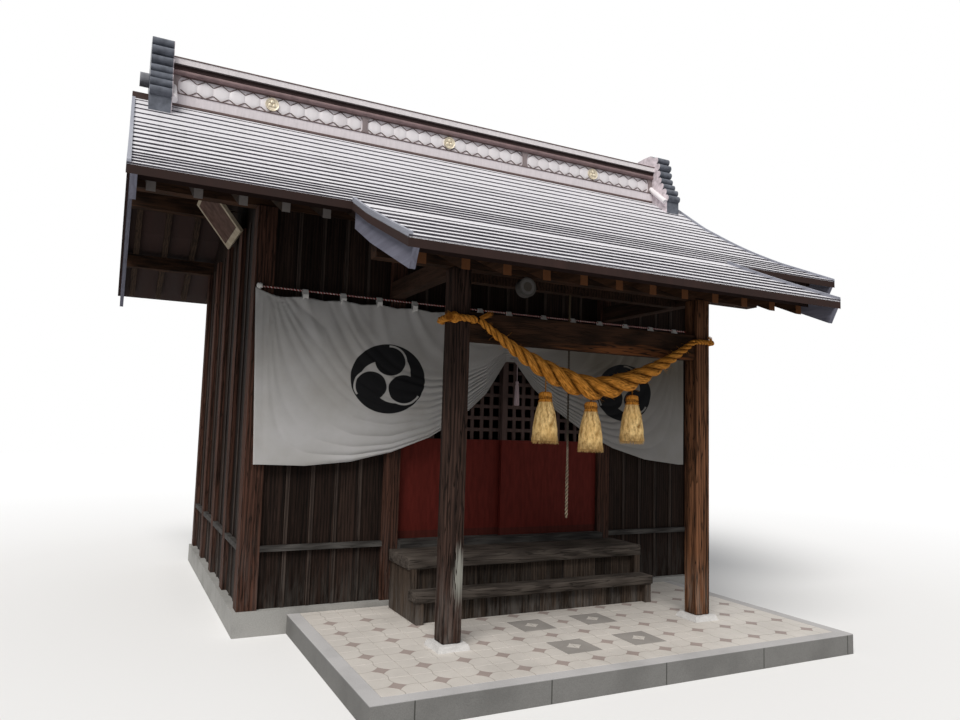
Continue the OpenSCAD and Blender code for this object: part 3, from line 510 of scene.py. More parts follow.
plinth_cement = cement_finish("plinth_cement", rgb(0.34, 0.335, 0.32), 160.0, 0.6)
pad_mortar = cement_finish("pad_mortar", rgb(0.62, 0.61, 0.6), 90.0, 0.25, strength=0.8)
tile_brown = cement_finish("tile_brown", rgb(0.37, 0.31, 0.285), 300.0, 0.4, 0.55, 0.1)
tile_grey = cement_finish("tile_grey", rgb(0.32, 0.3, 0.28), 300.0, 0.5, 0.55, 0.1)
joint_cement = cement_finish("joint_cement", rgb(0.33, 0.3, 0.27), 200.0, 0.5)

# %% [markdown]
# Each floor tile is pressed with four shallow wavy lines that run from its coloured middle to the middle of
# its sides. They are drawn in the finish, from the distance to the tile's own middle lines. The kerb has a
# pale floated top and a rougher, darker face with a joint about every 0.9 m.

# %% Floor tile and kerb finishes
pitch_x, pitch_y = 0.2875, 0.293
first_x, first_y = -1.72, -1.54
tile_beige, tree, shader, place = finish("tile_beige", 0.55, 0.0, 0.3)
made = cast(tree, place, rgb(0.62, 0.583, 0.54), 320.0, 0.35)
lines = []
for own, other, start, own_pitch, other_pitch in (("X", "Y", first_x, pitch_x, pitch_y),
                                                  ("Y", "X", first_y, pitch_y, pitch_x)):
    wave = sums(tree, "SINE", product(tree, coordinate(tree, place, other), 4 * math.pi / other_pitch))
    from_start = sums(tree, "ADD", coordinate(tree, place, own), -start)
    middle = node(tree, "Math", {0: from_start, 1: -own_pitch / 2, 2: own_pitch / 2}, operation="WRAP")
    away = sums(tree, "ABSOLUTE", sums(tree, "ADD", middle.outputs[0], product(tree, wave, 0.007)))
    lines.append(ramp(tree, away, 0.0012, 0.0035, 1.0, 0.0))
drawn = greatest(tree, *lines)
surface(tree, shader, tint(tree, product(tree, drawn, 0.7), made["Color"], rgb(0.2, 0.17, 0.14)),
        sums(tree, "SUBTRACT", made["Height"], drawn), strength=0.15, distance=0.003)

kerb_cement, tree, shader, place = finish("kerb_cement", 0.9)
on_top = ramp(tree, coordinate(tree, place, "Z"), 0.142, 0.149)
top_cement = cast(tree, place, rgb(0.5, 0.49, 0.49), 260.0, 0.4)
face_cement = cast(tree, place, rgb(0.19, 0.187, 0.18), 150.0, 0.5)
from_joint = sums(tree, "PINGPONG", sums(tree, "ADD", coordinate(tree, place, "X"), 4.4), 0.45)
joint = ramp(tree, from_joint, 0.002, 0.006, 1.0, 0.0)
face_tone = tint(tree, joint, face_cement["Color"], rgb(0.05, 0.05, 0.045))
surface(tree, shader, tint(tree, on_top, face_tone, top_cement["Color"]), face_cement["Height"], strength=0.5,
        distance=0.004)

# %% [markdown]
# ### Painted sheet metal
# The roof is sheet steel with a pale violet-grey coat. Rain has chalked it unevenly. Each lip and a strip just
# under it
# get a dark finish: partly dust along the course, partly painted shadow of the lip. The streaks run down the
# slope, so their noise is squeezed along Y.

# %% Sheet metal finishes
def sheet_finish(name, colour, worn, roughness=0.45, metallic=0.1, shine=0.35):
    material, tree, shader, place = finish(name, roughness, metallic, shine)
    streak = noise_at(tree, squeezed(tree, place, (6.0, 0.5, 0.5)), 1.6, 8.0, 0.6)
    cloud = noise_at(tree, place, 1.3, 5.0)
    share = product(tree, ramp(tree, streak, 0.35, 0.7), ramp(tree, cloud, 0.3, 0.7, 0.35, 1.0))
    dull = ramp(tree, streak, 0.3, 0.7, roughness - 0.1, roughness + 0.2)
    grit = noise_at(tree, place, 130.0, 2.0)
    surface(tree, shader, tint(tree, share, colour, worn), grit, dull, 0.08, 0.002)
    return material


roof_paint = sheet_finish("roof_paint", rgb(0.71, 0.7, 0.73), rgb(0.6, 0.588, 0.625))
# Painted shadow of each lip, with some dust, for the lips and the strip under each.
lap_shadow_and_dust = sheet_finish("lap_shadow_and_dust", rgb(0.045, 0.042, 0.052), rgb(0.12, 0.112, 0.135), 0.6, 0.1, 0.15)
edge_paint = sheet_finish("edge_paint", rgb(0.028, 0.017, 0.015), rgb(0.045, 0.026, 0.023), 0.7, 0.0, 0.1)
verge_paint = sheet_finish("verge_paint", rgb(0.3, 0.31, 0.36), rgb(0.2, 0.205, 0.24), 0.5)
panel_paint = sheet_finish("panel_paint", rgb(0.78, 0.75, 0.765), rgb(0.68, 0.64, 0.655), 0.5)
trim_paint = sheet_finish("trim_paint", rgb(0.13, 0.085, 0.08), rgb(0.075, 0.05, 0.047), 0.5)
waist_paint = sheet_finish("waist_paint", rgb(0.25, 0.205, 0.205), rgb(0.17, 0.14, 0.14), 0.5)
rose_paint = sheet_finish("rose_paint", rgb(0.24, 0.165, 0.165), rgb(0.15, 0.105, 0.105), 0.5)
bell_brass = sheet_finish("bell_brass", rgb(0.12, 0.085, 0.045), rgb(0.06, 0.045, 0.03), 0.45, 0.6)
print("metal finishes:", sum(m.name.endswith("_paint") for m in bpy.data.materials))

# %% [markdown]
# ## Handing a piece over
# A finished piece gets its material and the body it moves with, and the imported nodes that it stands for are
# hidden. An imported node that keeps its shape only gets a material.

# %% Handing over
def dress(piece, material):
    """One finish for the whole piece."""
    piece.data.materials.clear()
    piece.data.materials.append(material)


def hand_over(piece, material, slot, *nodes, body="hall"):
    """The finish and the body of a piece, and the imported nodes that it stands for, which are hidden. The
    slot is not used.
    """
    if material is not None:
        dress(piece, material)
    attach(piece, body)
    if nodes:
        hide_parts(*nodes)
    print(piece.name, len(piece.data.polygons), "faces")
    return piece


# %% [markdown]
# ## Roof sheets
# The slopes are covered in long strips of sheet that lap like shingles: each course lies over the one
# below it and ends in a small turned-down lip. Modelled as an edge that is extruded up the slope, out at
# each lap and on again, the whole slope is one continuous skin, as it is for the rain.

# %% Slopes and courses
def course_at(y):
    """The length of a course: shorter on the steep upper slope."""
    return 0.185 - 0.041 * min(max((y + 1.05) / 0.6, 0), 1)


def line_height(knots, y):
    """The height of a slope's straight lines, whose knots are (y, z) from the eave up."""
    for (y0, z0), (y1, z1) in zip(knots, knots[1:]):
        if y <= y1 + 1e-9:
            return z0 + (z1 - z0) * (y - y0) / (y1 - y0)
    return knots[-1][1]


def slope_points(knots, lift, blend):
    """Where each course starts up a slope. A corner is eased: the line's height is averaged around it."""
    y, end = knots[0][0], knots[-1][0]

    def eased(y):
        reach = max(min(blend, y - knots[0][0], end - y), 0)
        return sum(line_height(knots, y + reach * i / 8) for i in range(-8, 9)) / 17

    points = [(y, eased(y) + lift)]
    while y < end - 0.01:
        rise = (eased(y + 0.02) - eased(y)) / 0.02
        y = min(y + course_at(y) / math.hypot(1, rise), end)
        points.append((y, eased(y) + lift))
    return points


def strip_width(y):
    """How far the painted shadow and dust reach below a lip: more on the flatter part of the slope."""
    return 0.006 + 0.018 * min(max((-0.3 - y) / 0.8, 0), 1)


def lapped_sheet(name, half, points, lip=0.012, thick=0.004, overlap=0.002):
    """A sheet in courses: up at each lip and on along the slope, from one front edge."""
    front, top = points[0]
    bpy.ops.mesh.primitive_plane_add(size=2 * half, location=(0, front + half, top))
    sheet = settled(bpy.context.object)
    edit(sheet, "VERT", lambda v: v.co.y > front + half)
    bpy.ops.mesh.delete(type="VERT")
    bpy.ops.mesh.select_all(action="SELECT")
    for (y0, z0), (y1, z1) in zip(points, points[1:]):
        lift = lip if y1 < points[-1][0] else lip * 0.6
        run, rise = y1 - y0 + overlap, z1 - z0 - lift
        extrude(0, -overlap, lift)
        for part in (1 - strip_width(y1) / run, strip_width(y1) / run):
            extrude(0, run * part, rise * part)
    leave_edit()
    return with_modifier(named(sheet, name), "SOLIDIFY", thickness=thick, offset=-1)


ridge_y = 0.596
main_half, porch_half = 3.341, 1.8525
main_line = [(-2.076, 3.2889), (-0.70, 3.8998), (0.40, 4.727)]
main_points = slope_points(main_line, 0.002, 0.8)
front_sheet = lapped_sheet("main_sheet_front", main_half, main_points)
hand_over(front_sheet, roof_paint, "roof_sheet")


def paint_lap_shadow_and_dust(sheet, points):
    """The second finish, painted shadow and dust, on every lip and on the strip just under it."""
    sheet.data.materials.append(lap_shadow_and_dust)
    for face in sheet.data.polygons:
        y = face.center.y
        strip = any(y1 - strip_width(y1) < y < y1 - 0.003 for y1, _ in points[1:-1])
        if strip or face.normal.y < -0.9:
            face.material_index = 1


paint_lap_shadow_and_dust(front_sheet, main_points)
rear_sheet = named(mirrored(front_sheet, ridge_y), "main_sheet_rear")
hand_over(rear_sheet, None, "roof_sheet")
print("courses on a main slope:", len(main_points) - 1)

# %% [markdown]
# The porch roof carries the courses on without a break, over a softer bend, down to the front eave.

# %% Porch roof sheet
porch_line = [(-3.268, 2.761), (-2.467, 3.0971), (-2.076, 3.2889)]
porch_points = slope_points(porch_line, 0.002, 0.4)
porch_sheet = lapped_sheet("porch_sheet", porch_half, porch_points)
hand_over(porch_sheet, roof_paint, "roof_sheet")
paint_lap_shadow_and_dust(porch_sheet, porch_points)

for name in ("main_roof_front", "main_roof_rear", "porch_roof"):
    dress(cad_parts[name], edge_paint)

# %% [markdown]
# Along each eave and verge the sheet is turned down over a board. The eave strip is bright where it faces
# the sky, so it is a thin board of its own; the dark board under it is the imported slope's own edge.

# %% Eave and verge strips
strip_wide, strip_thick, strip_lift = 0.028, 0.03, 0.016
strip_inset = strip_wide / 2


def verge_strip(half, points, knots):
    """A strip extruded along a slope's left or right edge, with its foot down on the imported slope."""
    front, top = points[0]
    x = half - math.copysign(strip_inset, half)
    bpy.ops.mesh.primitive_plane_add(size=1, location=(x, front, top + strip_lift),
                                     rotation=(math.pi / 2, 0, 0))
    strip = bpy.context.object
    strip.scale = (strip_wide, strip_thick, 1)
    settled(strip)
    edit(strip, "FACE")
    for (y0, z0), (y1, z1) in zip(points, points[1:]):
        extrude(0, y1 - y0, z1 - z0)
    faces_outwards()
    leave_edit()
    middles = {round(y, 4): z + strip_lift for y, z in points}
    for v in strip.data.vertices:
        if v.co.z < middles[round(v.co.y, 4)]:
            v.co.z = min(v.co.z, line_height(knots, v.co.y) - 0.004)
    return strip


strips = []
for side in (-1, 1):
    strip = verge_strip(side * main_half, main_points[:-1], main_line)
    strips += [strip, mirrored(strip, ridge_y), verge_strip(side * porch_half, porch_points, porch_line)]
hand_over(joined("verge_strips", strips), verge_paint, "roof_sheet")

porch_lip = board((-porch_half, -3.268, 2.752), (porch_half, -3.256, 2.775), 0.003)
left_lip = board((-main_half, -2.0757, 3.279), (-porch_half, -2.064, 3.303), 0.003)
rear_lip = board((-main_half, 3.256, 3.279), (main_half, 3.268, 3.303), 0.003)
hand_over(joined("eave_lips", [porch_lip, left_lip, mirrored(left_lip), rear_lip]), roof_paint, "roof_sheet")
print("porch eave at", [round(c, 3) for c in porch_points[0]])

# %% [markdown]
# ## The ridge
# A box ridge stands on the two slopes: a base band, a panel with a row of tortoise-shell hexagons, a rounded
# moulding and a sheet cap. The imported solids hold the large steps. One hexagon is modelled: a six-sided disc
# is stretched to the cell's height, inset and drawn out into a low pillow.

# %% One hexagon cell
cell_half_width, cell_peak, cell_shoulder = 0.0768, 0.09, 0.042


def cell_face():
    """A hexagon with its points up and down, facing the front."""
    bpy.ops.mesh.primitive_circle_add(vertices=6, radius=1, fill_type="NGON", rotation=(math.pi / 2, 0, 0))
    cell = settled(bpy.context.object)
    if abs(cell.data.vertices[0].co.z) < 0.9:
        cell.data.transform(Matrix.Rotation(math.radians(90), 4, "Y"))
    widest = max(v.co.x for v in cell.data.vertices)
    for v in cell.data.vertices:
        v.co.x *= cell_half_width / widest
        v.co.z = math.copysign(cell_peak if abs(v.co.z) > 0.9 else cell_shoulder, v.co.z)
    if cell.data.polygons[0].normal.y > 0:
        cell.data.flip_normals()
    edit(cell, "FACE")
    return cell


pillow = cell_face()
extrude(0, -0.0015, 0)
for thickness, depth in ((0.002, 0.001), (0.032, 0.0045), (0.014, 0.0005)):
    bpy.ops.mesh.inset(thickness=thickness, depth=depth)
leave_edit()
smooth(pillow, 50)

outline = cell_face()
bpy.ops.transform.resize(value=(1.03, 1, 1.05))
bpy.ops.mesh.inset(thickness=0.0085, depth=0)
bpy.ops.mesh.delete(type="FACE")
leave_edit()
edit(outline, "FACE", lambda f: abs(f.calc_center_median().x) > 0.064)
bpy.ops.mesh.delete(type="FACE")
bpy.ops.mesh.select_all(action="SELECT")
extrude(0, -0.005, 0)
leave_edit()

# %% [markdown]
# The cell and its outline are copied along the panel, a little wider apart outside the inner dividers, and
# mirrored to the rear face.

# %% Rows of cells on both faces
panel_y, panel_z = 0.446, 4.966
cell_xs = [i * 0.151 for i in range(-6, 7)] + [s * (1.143 + i * 0.1545) for s in (-1, 1) for i in range(12)]
for shape, title, paint in ((pillow, "ridge_cells", panel_paint), (outline, "ridge_lines", trim_paint)):
    front_row = joined(title + "_front", [copied(shape, (x, panel_y, panel_z)) for x in cell_xs])
    bpy.data.objects.remove(shape)
    hand_over(front_row, paint, "ridge_plank")
    hand_over(named(mirrored(front_row, ridge_y), title + "_rear"), paint, "ridge_plank")

# %% [markdown]
# Dividers flare at both ends where the carpenter rounded the panel's corners. A board is cut across, and the
# rows nearest its middle are drawn in, which gives the waist.

# %% Dividers and frame lines
def divider(x):
    post = block((x - 0.05, 0.428, 4.8735), (x + 0.05, 0.447, 5.0625))
    cut_up(post, "EDGE", 11, lambda e: abs(e.verts[0].co.z - e.verts[1].co.z) > 0.1)
    for reach, share in ((0.08, 0.82), (0.064, 0.78), (0.048, 0.86)):
        edit(post, "VERT", lambda v: abs(v.co.z - panel_z) < reach)
        bpy.ops.transform.resize(value=(share, 1, 1), center_override=(x, 0, 0))
        leave_edit()
    return post


def on_both_faces(name, pieces):
    """One piece of several and their mirrored copies on the ridge's rear face."""
    return joined(name, pieces + [mirrored(piece, ridge_y) for piece in pieces])


dividers = [divider(x) for x in (-2.97, -1.02, 1.02, 2.97)]
# The line at 5.0535, just under the moulding, is a painted shadow line; the two lower lines are fillets.
frame_lines = [board((-2.99, y, z), (2.99, y + 0.016, z + high), 0.002)
               for y, z, high in ((0.414, 4.867, 0.009), (0.43, 5.0535, 0.009), (0.409, 4.738, 0.024))]
hand_over(on_both_faces("ridge_dividers", dividers), waist_paint, "ridge_plank")
hand_over(on_both_faces("ridge_fillets_and_shadow_line", frame_lines), trim_paint, "ridge_plank")

# %% [markdown]
# The moulding is a half-round. A cylinder laid along the ridge and sunk to its middle in the wood behind
# reads as one. A pale tube of the same kind runs down the inner side of each ridge end.

# %% Mouldings and cap edge
moulding_half = 2.999
moulding = rod(20, 0.027, 2 * moulding_half, (0, 0.425, 5.088), (0, math.pi / 2, 0))
bevelled(moulding, 0.004, wanted=lambda e: all(abs(v.co.x) > moulding_half - 0.01 for v in e.verts))
hand_over(on_both_faces("ridge_mouldings", [smooth(moulding)]), rose_paint, "ridge_plank")
lean = math.atan2(0.24, 0.29) - math.pi / 2
end_tubes = [smooth(bevelled(rod(18, 0.034, 0.39, (x, 0.295, 4.81), (lean, 0, 0)), 0.003))
             for x in (-2.985, 2.985)]
hand_over(on_both_faces("ridge_end_tubes", end_tubes), panel_paint, "ridge_plank")
cap_edge = board((-3.0, 0.376, 5.214), (3.0, 0.392, 5.2265), 0.002)
hand_over(on_both_faces("ridge_cap_edge", [cap_edge]), trim_paint, "ridge_plank")

# %% [markdown]
# ### The three-comma crest
# The medallions and the banner carry the same old pattern, so its drawing is one group. Each comma is a
# disc and a tail, and the tail is the part of a ring whose thickness shrinks with the angle. Turned twice by
# a third of a turn, one comma gives all three.

# %% The three-comma group
comma, given, result = group_of("three_commas", [("Place", "Vector", None), ("Radius", "Float", 0.25)],
                                [("Share", "Float")])
unit = vectors(comma, "DIVIDE", given["Place"], given["Radius"])
head_middle, next_head = (0.03, 0.5, 0), (-0.448, -0.224, 0)
parts_of_all = []
for k in range(3):
    turn = {0: unit, 3: math.radians(-120 * k)}
    turned = node(comma, "VectorRotate", turn, rotation_type="Z_AXIS").outputs[0]
    away = node(comma, "VectorMath", {0: turned, 1: head_middle}, operation="DISTANCE").outputs[1]
    next_away = node(comma, "VectorMath", {0: turned, 1: next_head}, operation="DISTANCE").outputs[1]
    head, gap = ramp(comma, away, 0.402, 0.414, 1.0, 0.0), ramp(comma, next_away, 0.455, 0.467)
    reach = length_of(comma, turned)
    leftwards = product(comma, coordinate(comma, turned, "X"), -1.0)
    angle = sums(comma, "ARCTAN2", leftwards, coordinate(comma, turned, "Y"))
    share_round = sums(comma, "DIVIDE", angle, math.radians(128))
    thinning = sums(comma, "POWER", ramp(comma, share_round, 0.0, 1.0, 1.0, 0.0), 0.72)
    inner_edge = sums(comma, "SUBTRACT", 0.985, product(comma, thinning, 0.52))
    beyond = ramp(comma, sums(comma, "SUBTRACT", reach, inner_edge), 0.0, 0.012)
    inside = ramp(comma, reach, 0.985, 0.997, 1.0, 0.0)
    started = ramp(comma, share_round, 0.0, 0.01)
    ended = ramp(comma, share_round, 0.98, 1.0, 1.0, 0.0)
    parts_of_all += [head, product(comma, beyond, inside, started, ended, gap)]
comma.links.new(greatest(comma, *parts_of_all), result["Share"])

# %% [markdown]
# ### Medallions
# Each gilt disc is turned: a cylinder whose face is inset to leave a rim. The commas are small teardrops
# standing on the face: a ball is flattened, and a tapering tail is spun out of its side.

# %% Medallions
disc_y, disc_z, disc_xs = 0.433, 4.968, (-2.03, 0, 2.03)


def comma_relief(middle, radius):
    """Three commas on the front of a disc."""
    parts = []
    for turn in (90, 210, 330):
        a = math.radians(turn)
        way = Vector((math.cos(a), 0, math.sin(a))) * radius
        bpy.ops.mesh.primitive_uv_sphere_add(segments=14, ring_count=8, radius=radius * 0.34,
                                             location=middle + way * 0.43)
        head = bpy.context.object
        head.scale = (1, 0.45, 1)
        bpy.ops.mesh.primitive_circle_add(vertices=8, radius=radius * 0.17, fill_type="NGON",
                                          location=middle + way * 0.66, rotation=(0, -a, 0))
        tail = settled(bpy.context.object)
        edit(tail, "FACE")
        bpy.ops.mesh.spin(steps=10, angle=math.radians(115), center=middle, axis=(0, -1, 0))
        leave_edit()
        for v in tail.data.vertices:
            away = Vector((v.co.x - middle.x, 0, v.co.z - middle.z))
            here = (math.atan2(away.z, away.x) - a) % (2 * math.pi)
            here = 0 if here > 6.1 else here
            share = max(1 - here / math.radians(118), 0.04)
            way_out = away.normalized() * radius
            v.co.xz = (middle + way_out * (0.66 + 0.2 * (1 - share)) + (away - way_out * 0.66) * share).xz
            v.co.y = middle.y + (v.co.y - middle.y) * 0.6 * share
        edit(tail, "FACE")
        faces_outwards()
        leave_edit()
        parts += [settled(head), tail]
    return parts


discs = []
for x in disc_xs:
    disc = rod(40, 0.069, 0.026, (x, disc_y, disc_z), (math.pi / 2, 0, 0))
    edit(disc, "FACE", lambda f: f.normal.y < -0.9)
    bpy.ops.mesh.inset(thickness=0.009, depth=-0.006)
    leave_edit()
    discs.append(smooth(disc))
    discs += [smooth(part, 60) for part in comma_relief(Vector((x, disc_y - 0.006, disc_z)), 0.06)]
gilt, tree, shader, place = finish("medallion_gilt", 0.4, 0.2, 0.4)
across = node(tree, "Math", {0: coordinate(tree, place, "X"), 1: -1.015, 2: 1.015}, operation="WRAP")
up_disc = sums(tree, "SUBTRACT", coordinate(tree, place, "Z"), disc_z)
flat_spot = node(tree, "CombineXYZ", {0: across.outputs[0], 1: up_disc}).outputs[0]
raised = use(tree, comma, {"Place": flat_spot, "Radius": 0.054})["Share"]
rim = ramp(tree, length_of(tree, flat_spot), 0.055, 0.058)
tarnish = noise_at(tree, place, 40.0, 4.0)
gold_tone = tint(tree, ramp(tree, tarnish, 0.35, 0.7), rgb(0.74, 0.67, 0.52), rgb(0.6, 0.52, 0.39))
shape_tone = tint(tree, greatest(tree, raised, rim), rgb(0.36, 0.28, 0.19), gold_tone)
surface(tree, shader, shape_tone, tarnish, strength=0.2)
hand_over(on_both_faces("ridge_medallion_discs", [joined("front_medallions", discs)]), gilt, "gilt",
          "ridge_medallions")

# %% [markdown]
# ## Posts and beams
# Planed posts have their edges taken off, so that nobody is hurt and the edge does not splinter. The packed
# posts are sharp, so the porch posts are made again with eased edges and a slightly worn surface.

# %% Worn timber
random.seed(7)
noise.seed_set(7)
post_x, post_y, post_half = 1.135, -2.417, 0.0725
posts = []
for x, post_wood in ((-post_x, dark_post), (post_x, warm_post)):
    foot = (x - post_half, post_y - post_half, 0.19)
    post = board(foot, (x + post_half, post_y + post_half, 2.81), 0.011, 2)
    cut_up(post, "EDGE", 24, lambda e: abs(e.verts[0].co.z - e.verts[1].co.z) > 1)
    for v in post.data.vertices:
        v.co += noise.noise_vector(v.co / 0.22) * 0.0016
    post.data.materials.append(post_wood)
    posts.append(smooth(post))
hand_over(joined("porch_post_timbers", posts), None, "weathered_timber", "porch_posts")

# %% [markdown]
# Mortar was trowelled under each post by hand. A block, subdivided and pushed about by noise, and narrower
# at the top, gives that lump.

# %% Mortar pads
pads = []
for x in (-post_x, post_x):
    pad = block((x - 0.1225, post_y - 0.1225, 0.15), (x + 0.1225, post_y + 0.1225, 0.19))
    edit(pad, "FACE", lambda f: f.normal.z > 0.9)
    bpy.ops.transform.resize(value=(0.88, 0.88, 1), center_override=(x, post_y, 0.19))
    leave_edit()
    cut_up(pad, "FACE", 12)
    for v in pad.data.vertices:
        push = noise.noise_vector(v.co / 0.05) * 0.006
        v.co += Vector((push.x, push.y, min(push.z, 0) if v.co.z > 0.185 else 0))
    pads.append(smooth(pad, 60))
hand_over(joined("mortar_pads", pads), pad_mortar, "mortar", "post_pads")

# %% [markdown]
# ## Steps
# The treads are thick old planks, rounded by feet and cupped. Each plank is bevelled, subdivided and
# moved by slow noise along its length.

# %% Step planks
planks = []
for low, high in (((-1.15, -1.675, 0.541), (1.15, -1.452, 0.636)),
                  ((-1.15, -1.449, 0.541), (1.15, -1.217, 0.636)),
                  ((-1.15, -1.851, 0.317), (1.15, -1.675, 0.393))):
    plank = board(low, high, 0.009, 3)
    cut_up(plank, "EDGE", 40, lambda e: abs(e.verts[0].co.x - e.verts[1].co.x) > 1)
    for v in plank.data.vertices:
        slow = noise.noise(Vector((v.co.x * 2.3, v.co.y * 3, v.co.z * 2)))
        v.co.z += -0.004 + slow * 0.004
        v.co.y += noise.noise(Vector((v.co.x * 5, v.co.z * 20, 3))) * 0.0025 + 0.0025
    planks.append(smooth(plank))
hand_over(joined("step_planks", planks), tread_wood, "step_timber", "step_treads")

# %% [markdown]
# ## Boarded walls
# Upright boards butt side by side and a thin batten covers each joint, so the wall stays tight when the
# boards shrink. The boards are in the finish; the battens stand proud and are modelled, one per joint.

# %% Battens
batten_wide, batten_proud = 0.032, 0.011
low_field, high_field, door_field = (0.19, 0.6395), (0.6855, 3.43), (2.56, 3.43)


def battens_at(place, joints, fields, along="X"):
    """A batten over each joint in each field, on a wall at y = place, or at x = place for joints along Y."""
    wide, proud = batten_wide / 2, batten_proud / 2
    reach_x, reach_y = (wide, proud) if along == "X" else (proud, wide)
    made = []
    for joint in joints:
        x, y = (joint, place) if along == "X" else (place, joint)
        for z0, z1 in fields:
            made.append(board((x - reach_x, y - reach_y, z0), (x + reach_x, y + reach_y, z1), 0.0025))
    return made


def between_posts(start, end):
    """The board joints between two posts."""
    count = max(round((end - start) / board_width), 1)
    return [start + (end - start) * i / count for i in range(1, count)]


beside_door, over_door = between_posts(1.185, 2.2), between_posts(-1.045, 1.045)
front_outside, rear_outside, side_outside = -1.087 - 0.005, 2.279 + 0.005, 2.315 + 0.005
battens = battens_at(front_outside, beside_door, (low_field, high_field))
battens += [mirrored(b) for b in battens]
battens += battens_at(front_outside, over_door, (door_field,))
hand_over(joined("front_battens", battens), batten_wood, "dark_board")

rear_right = battens_at(rear_outside, beside_door, (low_field, high_field))
rear_battens = rear_right + battens_at(rear_outside, over_door, (low_field, high_field))
rear_battens += [mirrored(b) for b in rear_right]
hand_over(joined("rear_battens", rear_battens), batten_wood, "dark_board")

front_post, rear_post, post_reach = -1.0495, 2.2415, 0.0775
bays = [front_post + (rear_post - front_post) / 4 * i for i in range(5)]
side_joints = [y for a, b in zip(bays, bays[1:]) for y in between_posts(a + post_reach, b - post_reach)]
side_battens = battens_at(side_outside, side_joints, (low_field, high_field), "Y")
side_battens += [mirrored(b) for b in side_battens]
hand_over(joined("side_battens", side_battens), batten_wood, "dark_board")
print("battens:", len(battens) + len(rear_battens) + len(side_battens))

# %% [markdown]
# ## Porch floor
# The floor is laid in square beige tiles about 290 mm wide. Each has a small brown piece with hollowed
# sides let into its middle, and four grey tiles have a pale one. A tile is a bevelled block; its inlay is
# a circle of four corners whose sides are subdivided and drawn in.

# %% Tiles
tile_top, inlay_top, inlay_radius = 0.15, 0.151, 0.062


def inlay(x, y):
    """A square with hollowed sides, a little over the tile."""
    low = inlay_top - 0.0045
    bpy.ops.mesh.primitive_circle_add(vertices=4, radius=inlay_radius, fill_type="NGON", location=(x, y, low))
    piece = settled(bpy.context.object)
    cut_up(piece, "EDGE", 3)
    for v in piece.data.vertices:
        away = Vector((v.co.x - x, v.co.y - y, 0))
        corner = max(abs(away.x), abs(away.y)) / inlay_radius
        if corner < 0.99:
            v.co -= away * 0.2 * (1 - corner)
    edit(piece, "FACE")
    extrude(0, 0, inlay_top - low)
    faces_outwards()
    leave_edit()
    return piece


def close_to(x, y, places, reach):
    return any(abs(x - a) < reach and abs(y - b) < reach for a, b in places)


edge_x, front_edge, back_edge, gap = 1.8655, -3.142, -1.1555, 0.002
beige, grey, brown, pale = [], [], [], []
grey_spots = [(x, y) for x in (-0.2825, 0.2925) for y in (-2.126, -2.712)]
post_spots = [(-post_x, post_y), (post_x, post_y)]
lines_x = sorted({max(-edge_x, min(edge_x, first_x + pitch_x * (i - 0.5))) for i in range(-1, 15)})
lines_y = sorted({max(front_edge, min(back_edge, first_y - pitch_y * (j - 0.5))) for j in range(-2, 8)})
for x0, x1 in zip(lines_x, lines_x[1:]):
    for y0, y1 in zip(lines_y, lines_y[1:]):
        if min(x1 - x0, y1 - y0) < 0.02:
            continue
        tile = board((x0 + gap, y0 + gap, 0.1302), (x1 - gap, y1 - gap, tile_top), 0.0015)
        is_grey = close_to((x0 + x1) / 2, (y0 + y1) / 2, grey_spots, 0.1)
        (grey if is_grey else beige).append(tile)
for i in range(13):
    for j in range(6):
        x, y = first_x + pitch_x * i, first_y - pitch_y * j
        under_steps = y > -1.6 and abs(x) < 1.2
        if under_steps or close_to(x, y, post_spots, 0.17):
            continue
        (pale if close_to(x, y, grey_spots, 0.1) else brown).append(inlay(x, y))
bed = board((-1.865, -3.1415, 0.1301), (1.865, -1.156, 0.146), 0.001)
print("tiles:", len(beige) + len(grey), "inlays:", len(brown) + len(pale))
hand_over(joined("beige_tiles", beige), tile_beige, "floor_tile", "porch_tiles")
hand_over(joined("grey_tiles", grey), tile_grey, "floor_tile")
hand_over(joined("brown_inlays", brown), tile_brown, "floor_tile")
hand_over(joined("pale_inlays", pale), tile_beige, "floor_tile")
hand_over(joined("tile_bed", [bed]), joint_cement, "mortar")

# %% [markdown]
# ## Straw rope
# The great rope is twisted from three straw strands, thick in the middle and thin at the posts. It is a
# soft piece, so its strands are swept in mesh code: a ring of points follows a spiral about the rope's
# middle line, and its UV map runs round and along the strand, so the straw can be drawn along it.

# %% Sweeping a tube
def frames_along(path):
    """At each point of a path, two directions across it, turned as little as it allows."""
    side = (path[1] - path[0]).normalized().orthogonal().normalized()
    frames = []
    for i in range(len(path)):
        ahead_here = (path[min(i + 1, len(path) - 1)] - path[max(i - 1, 0)]).normalized()
        side = (side - ahead_here * side.dot(ahead_here)).normalized()
        frames.append((side.copy(), ahead_here.cross(side)))
    return frames


def piece_of(name, made):
    """A new piece from finished mesh code."""
    made.normal_update()
    mesh = bpy.data.meshes.new(name)
    made.to_mesh(mesh)
    made.free()
    piece = bpy.data.objects.new(name, mesh)
    bpy.context.collection.objects.link(piece)
    return piece


